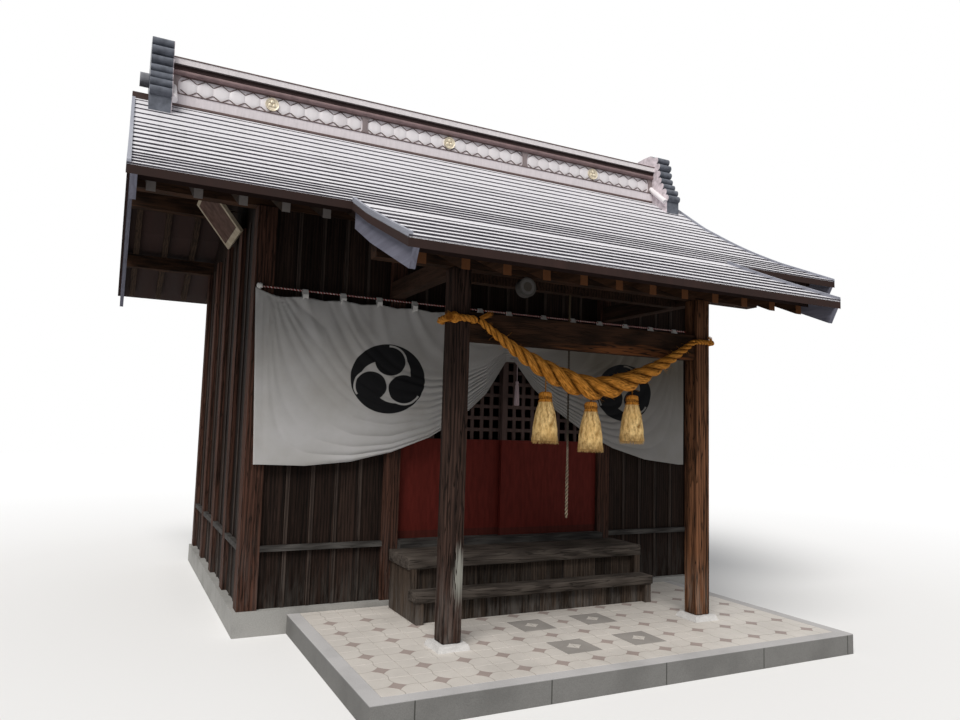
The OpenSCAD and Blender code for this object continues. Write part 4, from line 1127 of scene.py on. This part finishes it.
def tube(name, path, radii, sides=12, wobble=0.0, seed=1):
    """A closed tube along points, with a UV map whose V is the distance along it in metres."""
    made = bmesh.new()
    uv = made.loops.layers.uv.new("along")
    path = [Vector(p) for p in path]
    reach = [0.0]
    for a, b in zip(path, path[1:]):
        reach.append(reach[-1] + (b - a).length)
    rings = []
    for i, (point, (side, up)) in enumerate(zip(path, frames_along(path))):
        ring = []
        for k in range(sides):
            a = 2 * math.pi * k / sides
            r = radii[i] * (1 + wobble * noise.noise(Vector((a * 2, reach[i] * 25, seed))))
            ring.append(made.verts.new(point + side * math.cos(a) * r + up * math.sin(a) * r))
        rings.append(ring)
    for i in range(len(path) - 1):
        for k in range(sides):
            n = (k + 1) % sides
            face = made.faces.new((rings[i][k], rings[i][n], rings[i + 1][n], rings[i + 1][k]))
            face.smooth = True
            for loop, (u, v) in zip(face.loops, ((k, i), (k + 1, i), (k + 1, i + 1), (k, i + 1))):
                loop[uv].uv = (u / sides, reach[v])
    for ring, order in ((rings[0], -1), (rings[-1], 1)):
        made.faces.new(ring[::order])
    return piece_of(name, made)


# %% [markdown]
# Twisting is three spirals about one middle line. Where the rope is thick the spiral is long, so the turn
# is added up along the rope in steps. Each point also keeps how far it is sunk between the strands, so that
# the finish can paint shade into the gaps.

# %% Twisting strands
def twisted(name, path, radii, lay=2.3, strands=3, sides=12):
    """Strands laid round a middle line. A full turn takes lay times the rope's own width."""
    path = [Vector(p) for p in path]
    turn, pieces, turns = 0.0, [], []
    for i, point in enumerate(path):
        if i:
            turn += 2 * math.pi * (point - path[i - 1]).length / (lay * 2 * radii[i])
        turns.append(turn)
    frames = frames_along(path)
    share = 0.5 if strands == 2 else 0.536
    for s in range(strands):
        centres, widths = [], []
        for point, radius, a, (u, w) in zip(path, radii, turns, frames):
            a += 2 * math.pi * s / strands
            centres.append(point + (u * math.cos(a) + w * math.sin(a)) * radius * share)
            widths.append(radius * (1 - share) * 1.08)
        strand = tube(name, centres, widths, sides, 0.05, s + 1)
        sunk = strand.data.attributes.new("sunk", "FLOAT", "POINT")
        for i, v in enumerate(strand.data.vertices):
            sunk.data[i].value = 1 - (v.co - path[i // sides]).length / radii[i // sides]
        pieces.append(strand)
    return pieces


rope_y, tie_z, sag, half = -2.5175, 2.438, 0.442, 1.0065


def rope_radius(x):
    return 0.025 + 0.0675 * max(math.cos(math.pi / 2 * min(abs(x) / half, 1)), 0) ** 1.4


def rope_height(x):
    """The height of the rope's middle line."""
    return tie_z - sag * (1 - abs(x / half) ** 1.6)


steps = 420
xs = [half * (2 * i / steps - 1) for i in range(steps + 1)]
rope_path = [(x, rope_y, rope_height(x)) for x in xs]
rope_strands = twisted("strand", rope_path, [rope_radius(x) * 0.97 for x in xs], lay=3.3, sides=16)
print("rope length", round(sum((Vector(b) - Vector(a)).length for a, b in zip(rope_path, rope_path[1:])), 2))

# %% [markdown]
# Straw is drawn along the strand by the UV map: many fine lines round it, broken now and then along it. Gold
# patches lie over them, and the gaps between strands get painted shade.

# %% Straw finish
def straw_finish(name, dark, light, gold, count, dark_above=None):
    """Straw with this count of lines round a strand. It may be nearly black above a height."""
    material, tree, shader, place = finish(name, 0.75)
    uv = node(tree, "UVMap", uv_map="along").outputs[0]
    lines = noise_at(tree, squeezed(tree, uv, (count, 7.0, 1.0)), 2.2, 5.0, 0.65)
    colour = tint(tree, ramp(tree, lines, 0.36, 0.62), dark, light)
    colour = tint(tree, ramp(tree, noise_at(tree, place, 7.0, 4.0), 0.4, 0.65, 0.0, 0.45), colour, gold)
    # Painted shade in the gaps between strands, deeper where a point is sunk.
    gap = node(tree, "Attribute", attribute_name="sunk").outputs["Fac"]
    shadow = rgb(*(c * 0.3 for c in dark[:3]))
    colour = tint(tree, ramp(tree, gap, 0.1, 0.42, 0.0, 0.9), colour, shadow)
    if dark_above:
        smoked = ramp(tree, coordinate(tree, place, "Z"), dark_above, dark_above + 0.15)
        colour = tint(tree, smoked, colour, rgb(0.085, 0.07, 0.055))
    surface(tree, shader, colour, lines, strength=0.9, distance=0.006)
    return material


rope_straw = straw_finish("rope_straw", rgb(0.085, 0.026, 0.002), rgb(0.84, 0.36, 0.065),
                          rgb(0.42, 0.15, 0.015), 13.0)
tassel_straw = straw_finish("tassel_straw", rgb(0.24, 0.125, 0.035), rgb(0.88, 0.63, 0.29),
                            rgb(0.7, 0.43, 0.15), 9.0)
rope_hemp = straw_finish("rope_hemp", rgb(0.06, 0.045, 0.032), rgb(0.55, 0.45, 0.33),
                         rgb(0.3, 0.22, 0.14), 8.0, 1.5)

# %% [markdown]
# Loose straw ends stand out of every such rope. One blade is a thin three-sided spike; hundreds of them,
# each a few faces, are scattered over the rope and make the tufts.

# %% Straw blades
def blades(name, ends, width, spread=0.37):
    """Thin tapering blades from point to point. A small spread gives neighbours one tone."""
    made = bmesh.new()
    uv = made.loops.layers.uv.new("along")
    for number, (a, b) in enumerate(ends):
        a, b = Vector(a), Vector(b)
        side = (b - a).normalized().orthogonal().normalized() * width
        up = (b - a).normalized().cross(side)
        around = [side * math.cos(t) + up * math.sin(t) for t in (0, 2.09, 4.19)]
        low = [made.verts.new(a + out) for out in around]
        high = [made.verts.new(b + out * 0.35) for out in around]
        for k in range(3):
            n = (k + 1) % 3
            face = made.faces.new((low[k], low[n], high[n], high[k]))
            for loop, (u, v) in zip(face.loops, ((k, 0), (k + 1, 0), (k + 1, 1), (k, 1))):
                loop[uv].uv = (u / 30 + number * spread, v * 0.012 + number * spread * 0.1)
        made.faces.new(low[::-1])
        made.faces.new(high)
    return piece_of(name, made)


loose = []
for _ in range(320):
    i = random.randrange(12, steps - 12)
    x, _, z = rope_path[i]
    a = random.uniform(0, 2 * math.pi)
    r = rope_radius(x) * 0.9
    start = Vector((x, rope_y + math.cos(a) * r * 0.9, z + math.sin(a) * r * 0.9))
    sideways = random.uniform(0.3, 1) * random.choice((-1, 1))
    way = Vector((sideways, math.cos(a) * 0.35, math.sin(a) * 0.35 - 0.05))
    loose.append((start, start + way.normalized() * random.uniform(0.03, 0.07)))
rope_piece = joined("straw_rope_strands", rope_strands + [blades("loose_straw", loose, 0.0012)])
hand_over(rope_piece, rope_straw, "straw", "straw_rope")

# %% [markdown]
# At each post the rope is laid round the timber and tied off. On the left it ends in a knot and a tuft,
# on the right in one thin turn with a short tail. The crossbeam passes behind, so the turn stops at it.

# %% Rope round the posts
def round_post(x, side, radius):
    """Points from the crossbeam's front face round the post's outside to its back face."""
    reach = post_half + radius
    inner, outer = x - side * reach, x + side * reach
    front, back = post_y - reach, post_y + reach
    corners = [(inner, -2.4675), (inner, front), (outer, front), (outer, back), (inner, back),
               (inner, -2.3665)]
    points = []
    for a, b in zip(corners, corners[1:]):
        a, b = Vector((*a, 0)), Vector((*b, 0))
        count = max(int((b - a).length / 0.006), 2)
        points += [a.lerp(b, k / count) for k in range(count)]
    points.append(Vector((*corners[-1], 0)))
    eased = []
    for i, p in enumerate(points):
        near = points[max(i - 4, 0):i + 5]
        eased.append(sum(near, Vector()) / len(near) if 4 <= i < len(points) - 4 else p)
    return [Vector((p.x, p.y, tie_z + 0.006 * math.sin(i * 0.05))) for i, p in enumerate(eased)]


ties = []
for x, side, radius in ((-post_x, -1, 0.026), (post_x, 1, 0.021)):
    way = round_post(x, side, radius)
    ties += twisted("turn", way, [radius] * len(way), lay=2.2, sides=10)
knot_x, knot_y, knot_z = -1.205, -2.525, 2.44
bpy.ops.mesh.primitive_ico_sphere_add(subdivisions=3, radius=0.04, location=(knot_x, knot_y, knot_z))
knot = settled(bpy.context.object)
for v in knot.data.vertices:
    v.co.y = knot_y + (v.co.y - knot_y) * 0.7
    v.co += noise.noise_vector(v.co / 0.02) * 0.006
knot.data.uv_layers[0].name = "along"
tuft = []
for count, place, spread, way_x, ways_y, ways_z, lengths in (
        (260, (-1.215, knot_y, knot_z), 0.018, -1, (-0.5, 0.35), (-0.55, 0.6), (0.035, 0.062)),
        (70, (-1.0, -2.53, 2.45), 0.012, 0.75, (-0.25, 0.1), (0.25, 0.6), (0.05, 0.1)),
        (60, (1.19, -2.53, 2.44), 0.01, -0.35, (-0.25, 0.1), (0.5, 1), (0.03, 0.06))):
    for _ in range(count):
        start = Vector(place) + Vector([random.uniform(-spread, spread) for _ in range(3)])
        way = Vector((way_x, random.uniform(*ways_y), random.uniform(*ways_z))).normalized()
        tuft.append((start, start + way * random.uniform(*lengths)))
ties += [smooth(knot, 80), blades("tuft", tuft, 0.0018)]
hand_over(joined("rope_turns", ties), rope_straw, "straw", "rope_ties")

# %% [markdown]
# ## Bell rope
# A worshipper pulls this rope to ring the bell. It is two strands twisted round each other, and thicker at
# its foot, where hands hold it. It leaves the bell and hangs straight down to a knot.

# %% Bell rope
bell_top, bell_foot, cuts = 2.3697, 0.968, 240
bell_path = [(0, -2.157, bell_top + (bell_foot - bell_top) * i / cuts) for i in range(cuts + 1)]
bell_radii = [0.009 + 0.003 * min(max((i / cuts - 0.66) / 0.1, 0), 1) for i in range(cuts + 1)]
bell_radii[-12:] = [0.0125, 0.012, 0.0115, 0.0115, 0.012, 0.0125, 0.0127, 0.0125, 0.012, 0.011, 0.009, 0.006]
bell_cord = joined("bell_pull_rope", twisted("lay", bell_path, bell_radii, lay=2.6, strands=2, sides=8))
hand_over(bell_cord, rope_hemp, "straw", "bell_rope")

# %% [markdown]
# ### Tassels
# A tassel is a bundle of straw hung by a string, bound at its neck and cut ragged at its foot. The solid
# core only fills it. Some five hundred bent blades make the skirt that is seen.

# %% Tassels
tassel_parts, head_parts = [], []
for x, top in ((-0.44, 1.950), (-0.03, 1.892), (0.365, 1.960)):
    neck = top - 0.056
    rows = [(0, 0.022), (0.006, 0.04), (0.02, 0.046), (0.04, 0.046), (0.056, 0.041), (0.075, 0.05),
            (0.16, 0.075), (0.27, 0.092), (0.36, 0.093)]
    path = [(x, rope_y, top - d) for d, _ in rows]
    core = tube("core", path, [r for _, r in rows], 24, 0.05, 3)
    head_parts.append(tube("head", path[:6], [r + 0.003 for _, r in rows[:6]], 24, 0.12, 5))
    ends = []
    for k in range(520):
        a = 2 * math.pi * (k + random.uniform(-3, 3)) / 520
        out = Vector((math.cos(a), math.sin(a), 0))
        foot = out * 0.1 * random.uniform(0.7, 1.0) * random.uniform(0.9, 1.05)
        start = Vector((x, rope_y, neck - 0.004)) + out * 0.043
        knee = Vector((x, rope_y, neck - 0.1)) + out * 0.068
        end = Vector((x, rope_y, neck - random.uniform(0.3, 0.332))) + foot
        ends += [(start, knee), (knee, end)]
    collar = [Vector((x + 0.047 * math.cos(t * 0.35), rope_y + 0.047 * math.sin(t * 0.35),
                      top - 0.03 - t * 0.00045)) for t in range(56)]
    tassel_parts += [core, blades("skirt", ends, 0.0022, 0.006)]
    head_parts += twisted("collar", collar, [0.006] * len(collar), lay=2.5, strands=2, sides=6)
    string_foot, string_top = top - 0.004, rope_height(x) - rope_radius(x) * 0.85
    line = [(x, rope_y, string_foot + (string_top - string_foot) * i / 10) for i in range(11)]
    head_parts += twisted("string", line, [0.006] * 11, lay=3, strands=2, sides=6)
hand_over(joined("straw_tassel_skirts", tassel_parts), tassel_straw, "straw", "straw_tassels")
hand_over(joined("straw_tassel_heads", head_parts), rope_straw, "straw")

# %% [markdown]
# ## Banner
# One long cloth hangs behind the porch posts on a cord. Its middle is drawn up and tied, so the cloth on
# both sides sweeps up to that point in long folds. It is built as a grid whose rows follow the curve of
# the hem, and the grid is then pushed in and out by the folds.

# %% The banner's outline
banner_left, banner_right, banner_top, banner_mid_y = -2.35, 2.11, 2.703, -1.167
loops_x = [-1.949, -1.627, -1.307, -0.98, -0.653, -0.328, -0.022, 0.363, 0.697, 1.02, 1.343, 1.67, 1.99]
hem = [(-2.32, -1.372), (-1.9, -1.382), (-1.5, -1.345), (-1.15, -1.265), (-0.8, -1.13), (-0.5, -0.95),
       (-0.25, -0.72), (-0.05, -0.41), (0.05, -0.41), (0.25, -0.64), (0.52, -0.85), (0.85, -1.05),
       (1.2, -1.2), (1.6, -1.31), (2.04, -1.36), (2.11, -1.36)]


def along_line(points, x):
    """The height at x of a line through points (x, z)."""
    for (x0, z0), (x1, z1) in zip(points, points[1:]):
        if x <= x1:
            return z0 + (z1 - z0) * (x - x0) / max(x1 - x0, 1e-6)
    return points[-1][1]


def cloth_top(x):
    """The height of the cloth's upper edge, which dips a little between the loops."""
    near = min(abs(x - l) for l in loops_x)
    corner = 0.06 * max(1 - (x - banner_left) / 0.2, 0) ** 1.5
    return banner_top + corner - 0.016 * min(near / 0.16, 1.0) ** 1.6


# %% [markdown]
# Cloth that hangs from a line and is drawn to one point folds along curves that leave the line steeply and
# bend towards the point. With u across to the gather and v up from the hem, those curves keep u times v
# the same, so one number says which fold a place is on. Each valley is narrow and each ridge is round.

# %% Folds
def step_between(low, high, value):
    """0 below low, 1 above high and an eased step between."""
    share = min(max((value - low) / (high - low), 0.0), 1.0)
    return share * share * (3 - 2 * share)


def fold_depth(x, t):
    """How far the cloth stands forward at a place, from 0 in a valley to 1 on a ridge, and how strongly."""
    width = -banner_left if x < 0 else banner_right
    u, v = max((width - abs(x)) / width, 0.0), 1 - t
    bunch = 0.8 * max(1 - u / 0.25, 0.0)
    which = (u - 0.04) * v / (1.15 - v) ** bunch
    seed = 0.0 if x < 0 else 7.3
    number = 25.5 * max(which, 0.0) ** 0.75 + 0.5 * noise.noise(Vector((which * 14, u * 2.2, seed)))
    ridge = abs(math.sin(math.pi * number)) ** 0.7
    strength = (0.28 + 0.72 * step_between(0.12, 0.55, u)) * (1 - step_between(0.24, 0.36, which))
    strength *= 1 - 0.65 * step_between(0.82, 1.0, u)
    strength *= 0.55 + 0.45 * noise.noise(Vector((which * 30, u * 1.3, seed + 3)))
    knot = math.exp(-((u - 0.05) ** 2 + 0.35 * t * t) / 0.03)
    depth = (ridge - 0.55) * (strength + 0.5 * knot * step_between(0.0, 0.02, u))
    for loop in loops_x:
        if (loop < 0) != (x < 0):
            continue
        start = (width - abs(loop)) / width
        centre = start - 0.35 * step_between(0.2, 0.5, start) * t
        fade = max(1 - t / 0.62, 0.0)
        away = (u * v - centre) / (0.012 + 0.016 * t)
        depth += (math.exp(-away * away) - 0.9 * math.exp(-(away + 2.1) ** 2)) * 0.42 * fade
    return depth


def cloth_point(x, t):
    """The cloth's place at x, from its upper edge at t = 0 to its hem at t = 1."""
    low, high = banner_top + along_line(hem, max(min(x, 2.04), -2.3)), cloth_top(x)
    slow = 0.25 * math.sin(x * 3.1 + t * 2.0)
    inward = 0.055 * t * max(x / banner_left, 0.0) ** 6
    depth = max(min(fold_depth(x, t) * 1.25 + slow, 1.05), -1.05)
    return Vector((x + inward, banner_mid_y - 0.0235 * depth, high + (low - high) * t))


# %% [markdown]
# The grid is made column by column from those functions. Its UV map is the cloth seen from the front, in
# metres, so that the crests keep their shape over the folds.

# %% Banner cloth
columns, rows = 270, 170
made = bmesh.new()
uv = made.loops.layers.uv.new("flat")
grid = []
for i in range(columns + 1):
    x = banner_left + (banner_right - banner_left) * i / columns
    grid.append([made.verts.new(cloth_point(x, 1 - (1 - j / rows) ** 1.25)) for j in range(rows + 1)])
for i in range(columns):
    for j in range(rows):
        face = made.faces.new((grid[i][j], grid[i][j + 1], grid[i + 1][j + 1], grid[i + 1][j]))
        face.smooth = True
        for loop in face.loops:
            loop[uv].uv = (loop.vert.co.x, loop.vert.co.z)
cloth = piece_of("banner_cloth", made)
print("cloth area", round(sum(f.area for f in cloth.data.polygons), 2))
with_modifier(cloth, "SOLIDIFY", thickness=0.0016, offset=0)

# %% [markdown]
# The crest is dyed into the cloth, so it belongs to the finish: the three-comma group is placed on the
# cloth's own flat UV map, once on each half.

# %% Cloth finish
cotton, tree, shader, place = finish("banner_cotton", 0.9)
flat_place = node(tree, "UVMap", uv_map="flat").outputs[0]
crests = []
for middle, half_sizes in (((-1.198, 2.068, 0), (0.343, 0.302, 1)), ((1.33, 2.064, 0), (0.345, 0.29, 1))):
    away = vectors(tree, "SUBTRACT", flat_place, middle)
    unit_place = vectors(tree, "DIVIDE", away, half_sizes)
    crests.append(use(tree, comma, {"Place": unit_place, "Radius": 1.0})["Share"])
dye = greatest(tree, *crests)
weaves = [node(tree, "TexWave", {"Vector": flat_place, "Scale": 190.0}, bands_direction=way).outputs[1]
          for way in "XY"]
weave = sums(tree, "ADD", *weaves)
soil, creases = noise_at(tree, place, 1.7, 7.0, 0.6), noise_at(tree, place, 9.0, 5.0)
cloth_colour = tint(tree, ramp(tree, soil, 0.35, 0.75), rgb(0.53, 0.525, 0.53), rgb(0.39, 0.38, 0.36))
# Painted shade of the porch roof, with some soot: the cloth darkens and warms towards its top and its right
# side.
shade_and_soot = product(tree, ramp(tree, coordinate(tree, place, "X"), -0.6, 1.0, 0.35, 1.0),
                ramp(tree, coordinate(tree, place, "Z"), 1.6, 2.3, 0.55, 1.0))
cloth_colour = tint(tree, shade_and_soot, cloth_colour, rgb(0.13, 0.115, 0.095))
surface(tree, shader, tint(tree, dye, cloth_colour, rgb(0.012, 0.012, 0.013)),
        sums(tree, "ADD", product(tree, weave, 0.1), creases), strength=0.25, distance=0.01)
hand_over(cloth, cotton, "white_cloth", "banner")

# %% [markdown]
# The cloth hangs by short loops of tape over a red and white cord. Each loop is a strip that goes up the
# front, over the cord and down the back.

# %% Loops
cord_y, cord_z = -1.153, 2.759


def loop_at(x):
    """A loop round the cord, drawn out below it to the cloth."""
    ring = rod(16, 0.0125, 0.046, (x, cord_y, cord_z), (0, math.pi / 2, 0), end_fill_type="NOTHING")
    for v in ring.data.vertices:
        if v.co.z < cord_z - 0.002:
            v.co.z -= (cord_z - v.co.z) * 6.2
            v.co.y = cord_y - 0.013 + (v.co.y - cord_y) * 1.9
    with_modifier(ring, "SOLIDIFY", thickness=0.0015, offset=0)
    return smooth(ring)


bpy.ops.mesh.primitive_ico_sphere_add(subdivisions=4, radius=0.022, location=(-2.318, -1.162, 2.762))
corner_knot = settled(bpy.context.object)
for v in corner_knot.data.vertices:
    v.co += noise.noise_vector(v.co / 0.012) * 0.012
loops = joined("banner_loops", [loop_at(x) for x in loops_x] + [smooth(corner_knot, 80)])
plain_cotton, tree, shader, place = finish("plain_cotton", 0.9)
fibres = noise_at(tree, place, 260.0, 3.0)
surface(tree, shader, tint(tree, fibres, rgb(0.6, 0.59, 0.58), rgb(0.45, 0.44, 0.42)), fibres, strength=0.3)
hand_over(loops, plain_cotton, "white_cloth")

# %% [markdown]
# The cord is three strands, two red and one white, twisted and pulled tight between pins in the corner posts.

# %% Banner cord
cord_half, cuts = 2.3, 460
cord_path = [(cord_half * (2 * i / cuts - 1), cord_y, cord_z - 0.004 * math.sin(math.pi * i / cuts))
             for i in range(cuts + 1)]
red_strand, red_other, white_strand = twisted("cord", cord_path, [0.008] * len(cord_path), lay=1.7, sides=6)
red_half = joined("banner_cord_red", [red_strand, red_other])
named(white_strand, "banner_cord_white")
pins = [bevelled(rod(12, 0.005, 0.034, (x, -1.143, cord_z), (math.pi / 2, 0, 0)), 0.0008)
        for x in (-2.2775, 2.2775)]


def yarn_finish(name, dark, light):
    material, tree, shader, place = finish(name, 0.8)
    threads = noise_at(tree, place, 320.0, 2.0)
    surface(tree, shader, tint(tree, threads, dark, light), threads, strength=0.5)
    return material


red_yarn = yarn_finish("red_yarn", rgb(0.13, 0.012, 0.014), rgb(0.27, 0.035, 0.035))
white_yarn = yarn_finish("white_yarn", rgb(0.5, 0.48, 0.46), rgb(0.75, 0.73, 0.7))
faded_yarn = yarn_finish("faded_yarn", rgb(0.24, 0.17, 0.18), rgb(0.46, 0.37, 0.39))
hand_over(red_half, red_yarn, "red_cord", "banner_cord")
hand_over(white_strand, white_yarn, "red_cord")
hand_over(joined("banner_pins", pins), bell_brass, "bell_brass")

# %% [markdown]
# The middle of the cloth is gathered by a thin tie, and the tie's end hangs down with a small tassel of yarn.

# %% The banner's tie
tassel_x, tassel_y = 0.064, -1.192
tie_path = [(0.012 + 0.018 * math.cos(a / 8), -1.168 + 0.024 * math.sin(a / 8), 2.336 - a * 0.0005)
            for a in range(51)]
tie_path += [(tassel_x, tassel_y, 2.3 - 0.0065 * i) for i in range(2, 29)]
tie_string = twisted("tie", tie_path, [0.0045] * len(tie_path), lay=3, strands=2, sides=6)
rows = [(0, 0.008), (0.006, 0.014), (0.022, 0.016), (0.03, 0.012), (0.05, 0.018), (0.12, 0.022),
        (0.226, 0.024), (0.23, 0.02)]
small_body = tube("body", [(tassel_x, tassel_y, 2.116 - d) for d, _ in rows], [r for _, r in rows], 24, 0.12)
hand_over(joined("banner_tie_tassel", tie_string + [small_body]), faded_yarn, "red_cord")

# %% [markdown]
# ## What stays as packed
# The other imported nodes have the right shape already, so they only get a finish. The door leaves change
# colour at their middle rail, and the ridge ends along X, so those finishes read the height or the side.

# %% Two-part finishes
def split_finish(name, axis, places, colours, roughness, vary, blur=0.003):
    """Colours that change at places along an axis, measured from the middle where the axis is X."""
    material, tree, shader, place = finish(name, roughness)
    value = coordinate(tree, place, axis)
    if axis == "X":
        value = sums(tree, "ABSOLUTE", value)
    grain_place = squeezed(tree, place, (8.0, 8.0, 1.4) if axis == "Z" else (3.0, 3.0, 3.0))
    grain = noise_at(tree, grain_place, 5.0, 6.0)
    colour = colours[0]
    for change, tone in zip(places, colours[1:]):
        colour = tint(tree, ramp(tree, value, change - blur, change + blur), colour, tone)
    colour = scaled(tree, colour, ramp(tree, grain, 0.3, 0.7, *vary))
    surface(tree, shader, colour, grain, strength=0.4)
    return material


door_paint = split_finish(
    "door_paint", "Z", (0.75, 1.56),
    (rgb(0.07, 0.016, 0.012), rgb(0.1, 0.015, 0.011), rgb(0.075, 0.05, 0.045)), 0.55, (0.8, 1.15))
ridge_end_tile = split_finish(
    "ridge_end_tile", "X", (3.004, 3.205),
    (rgb(0.62, 0.55, 0.58), rgb(0.13, 0.14, 0.165), rgb(0.26, 0.265, 0.29)), 0.3, (0.7, 1.25))
# Above the moulding the top band is painted shade: the dark recess under the cap.
ridge_wood = split_finish(
    "ridge_wood", "Z", (4.8735, 5.056, 5.112),
    (rgb(0.69, 0.64, 0.66), rgb(0.78, 0.73, 0.75), rgb(0.24, 0.165, 0.165), rgb(0.05, 0.032, 0.03)),
    0.5, (0.93, 1.05))
# The dark band from 5.118 to 5.157 is painted shade in the recess under the cap.
ridge_sheet = split_finish(
    "ridge_sheet", "Z", (5.118, 5.157),
    (rgb(0.24, 0.165, 0.165), rgb(0.04, 0.026, 0.024), rgb(0.74, 0.7, 0.71)), 0.5, (0.93, 1.05))

lamp_glass, tree, shader, place = finish("lamp_glass", 0.35)
from_axis = vectors(tree, "SUBTRACT", place, (-0.59, -2.447, 2.733))
reach = length_of(tree, vectors(tree, "MULTIPLY", from_axis, (1, 0, 1)))
dust = noise_at(tree, place, 60.0, 4.0)
lamp_tone = rgb(0.07, 0.06, 0.05)
for start, end, tone in ((0.034, 0.038, rgb(0.13, 0.125, 0.12)), (0.056, 0.06, rgb(0.08, 0.075, 0.07))):
    lamp_tone = tint(tree, ramp(tree, reach, start, end), lamp_tone, tone)
dusty = ramp(tree, dust, 0.4, 0.7, 0.0, 0.5)
surface(tree, shader, tint(tree, dusty, lamp_tone, rgb(0.1, 0.09, 0.085)), dust, strength=0.2)

plaque_paint, tree, shader, place = finish("plaque_paint", 0.6)
from_middle = sums(tree, "ABSOLUTE", sums(tree, "SUBTRACT", coordinate(tree, place, "Y"), 0.053))
up = coordinate(tree, place, "Z")
on_frame = greatest(tree, ramp(tree, from_middle, 0.35, 0.353), ramp(tree, up, 3.425, 3.428, 1.0, 0.0),
                    ramp(tree, up, 3.765, 3.768))
rub = noise_at(tree, place, 14.0, 6.0)
panel_tone = tint(tree, ramp(tree, rub, 0.35, 0.65), rgb(0.05, 0.026, 0.019), rgb(0.1, 0.058, 0.045))
frame_tone = tint(tree, ramp(tree, rub, 0.35, 0.65), rgb(0.3, 0.25, 0.18), rgb(0.42, 0.36, 0.27))
surface(tree, shader, tint(tree, on_frame, panel_tone, frame_tone), rub, strength=0.3)

kept = {
    "porch_platform": kerb_cement, "plinth": plinth_cement, "porch_crossbeam": beam_wood,
    "porch_tie_beams": tie_wood, "porch_purlin": cross_wood, "porch_rafters": porch_rafter_wood,
    "porch_bargeboards": blue_board, "hall_posts": hall_post_wood, "door_posts": hall_post_wood,
    "front_walls": wall_x_wood, "front_wall_over_door": wall_x_wood, "side_walls": wall_y_wood,
    "rear_wall": wall_x_wood, "gable_walls": wall_y_wood, "waist_rails": rail_wood, "roof_beams": cross_wood,
    "hall_floor": floor_wood, "floor_joists": cross_wood, "floor_posts": hall_post_wood,
    "door_frame": rail_wood, "door_left": door_paint, "door_right": door_paint, "step_supports": riser_wood,
    "main_rafters": main_rafter_wood, "gable_bargeboards": blue_board, "ridge_body": ridge_wood,
    "ridge_cap": ridge_sheet, "ridge_ends": ridge_end_tile, "bell": bell_brass, "porch_lamp": lamp_glass,
    "wall_plaque": plaque_paint,
}
for name, material in kept.items():
    dress(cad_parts[name], material)
print("kept nodes:", len(kept))

# %% [markdown]
# ## Light and floor
# The light is an overcast sky with a soft sun behind the viewer. The floor is a pale plane that fades into
# the sky far off.

# %% Stage
bpy.ops.mesh.primitive_plane_add(size=60, location=(0, 0, -0.001))
floor = named(settled(bpy.context.object), "floor")
floor_tone, tree, shader, place = finish("floor_tone", 0.9)
far = ramp(tree, length_of(tree, place), 5.0, 13.0)
tree.links.new(tint(tree, far, rgb(0.8, 0.8, 0.8), rgb(0.0, 0.0, 0.0)), shader.inputs["Base Color"])
by_camera = node(tree, "LightPath").outputs["Is Camera Ray"]
tree.links.new(scaled(tree, (1, 1, 1), product(tree, far, by_camera)), shader.inputs["Emission Color"])
shader.inputs["Emission Strength"].default_value = 1.0
floor.data.materials.append(floor_tone)

world = bpy.data.worlds.new("sky")
bpy.context.scene.world = world
world.use_nodes = True
sky = world.node_tree
background = sky.nodes["Background"]
rays = node(sky, "LightPath").outputs
seen = greatest(sky, *(rays["Is %s Ray" % kind] for kind in ("Camera", "Glossy", "Transmission")))
sky.links.new(ramp(sky, seen, 0.0, 1.0, 0.4, 1.0), background.inputs["Strength"])
sky.links.new(tint(sky, seen, rgb(0.93, 0.96, 1.0), rgb(1.0, 1.0, 1.0)), background.inputs["Color"])
bpy.ops.object.light_add(type="SUN", rotation=(math.radians(39), math.radians(-8), math.radians(-30)))
sun = bpy.context.object
sun.data.energy = 3.2
sun.data.angle = math.radians(35)
sun.data.color = (1.0, 0.97, 0.93)
bpy.context.scene.view_settings.view_transform = "Standard"
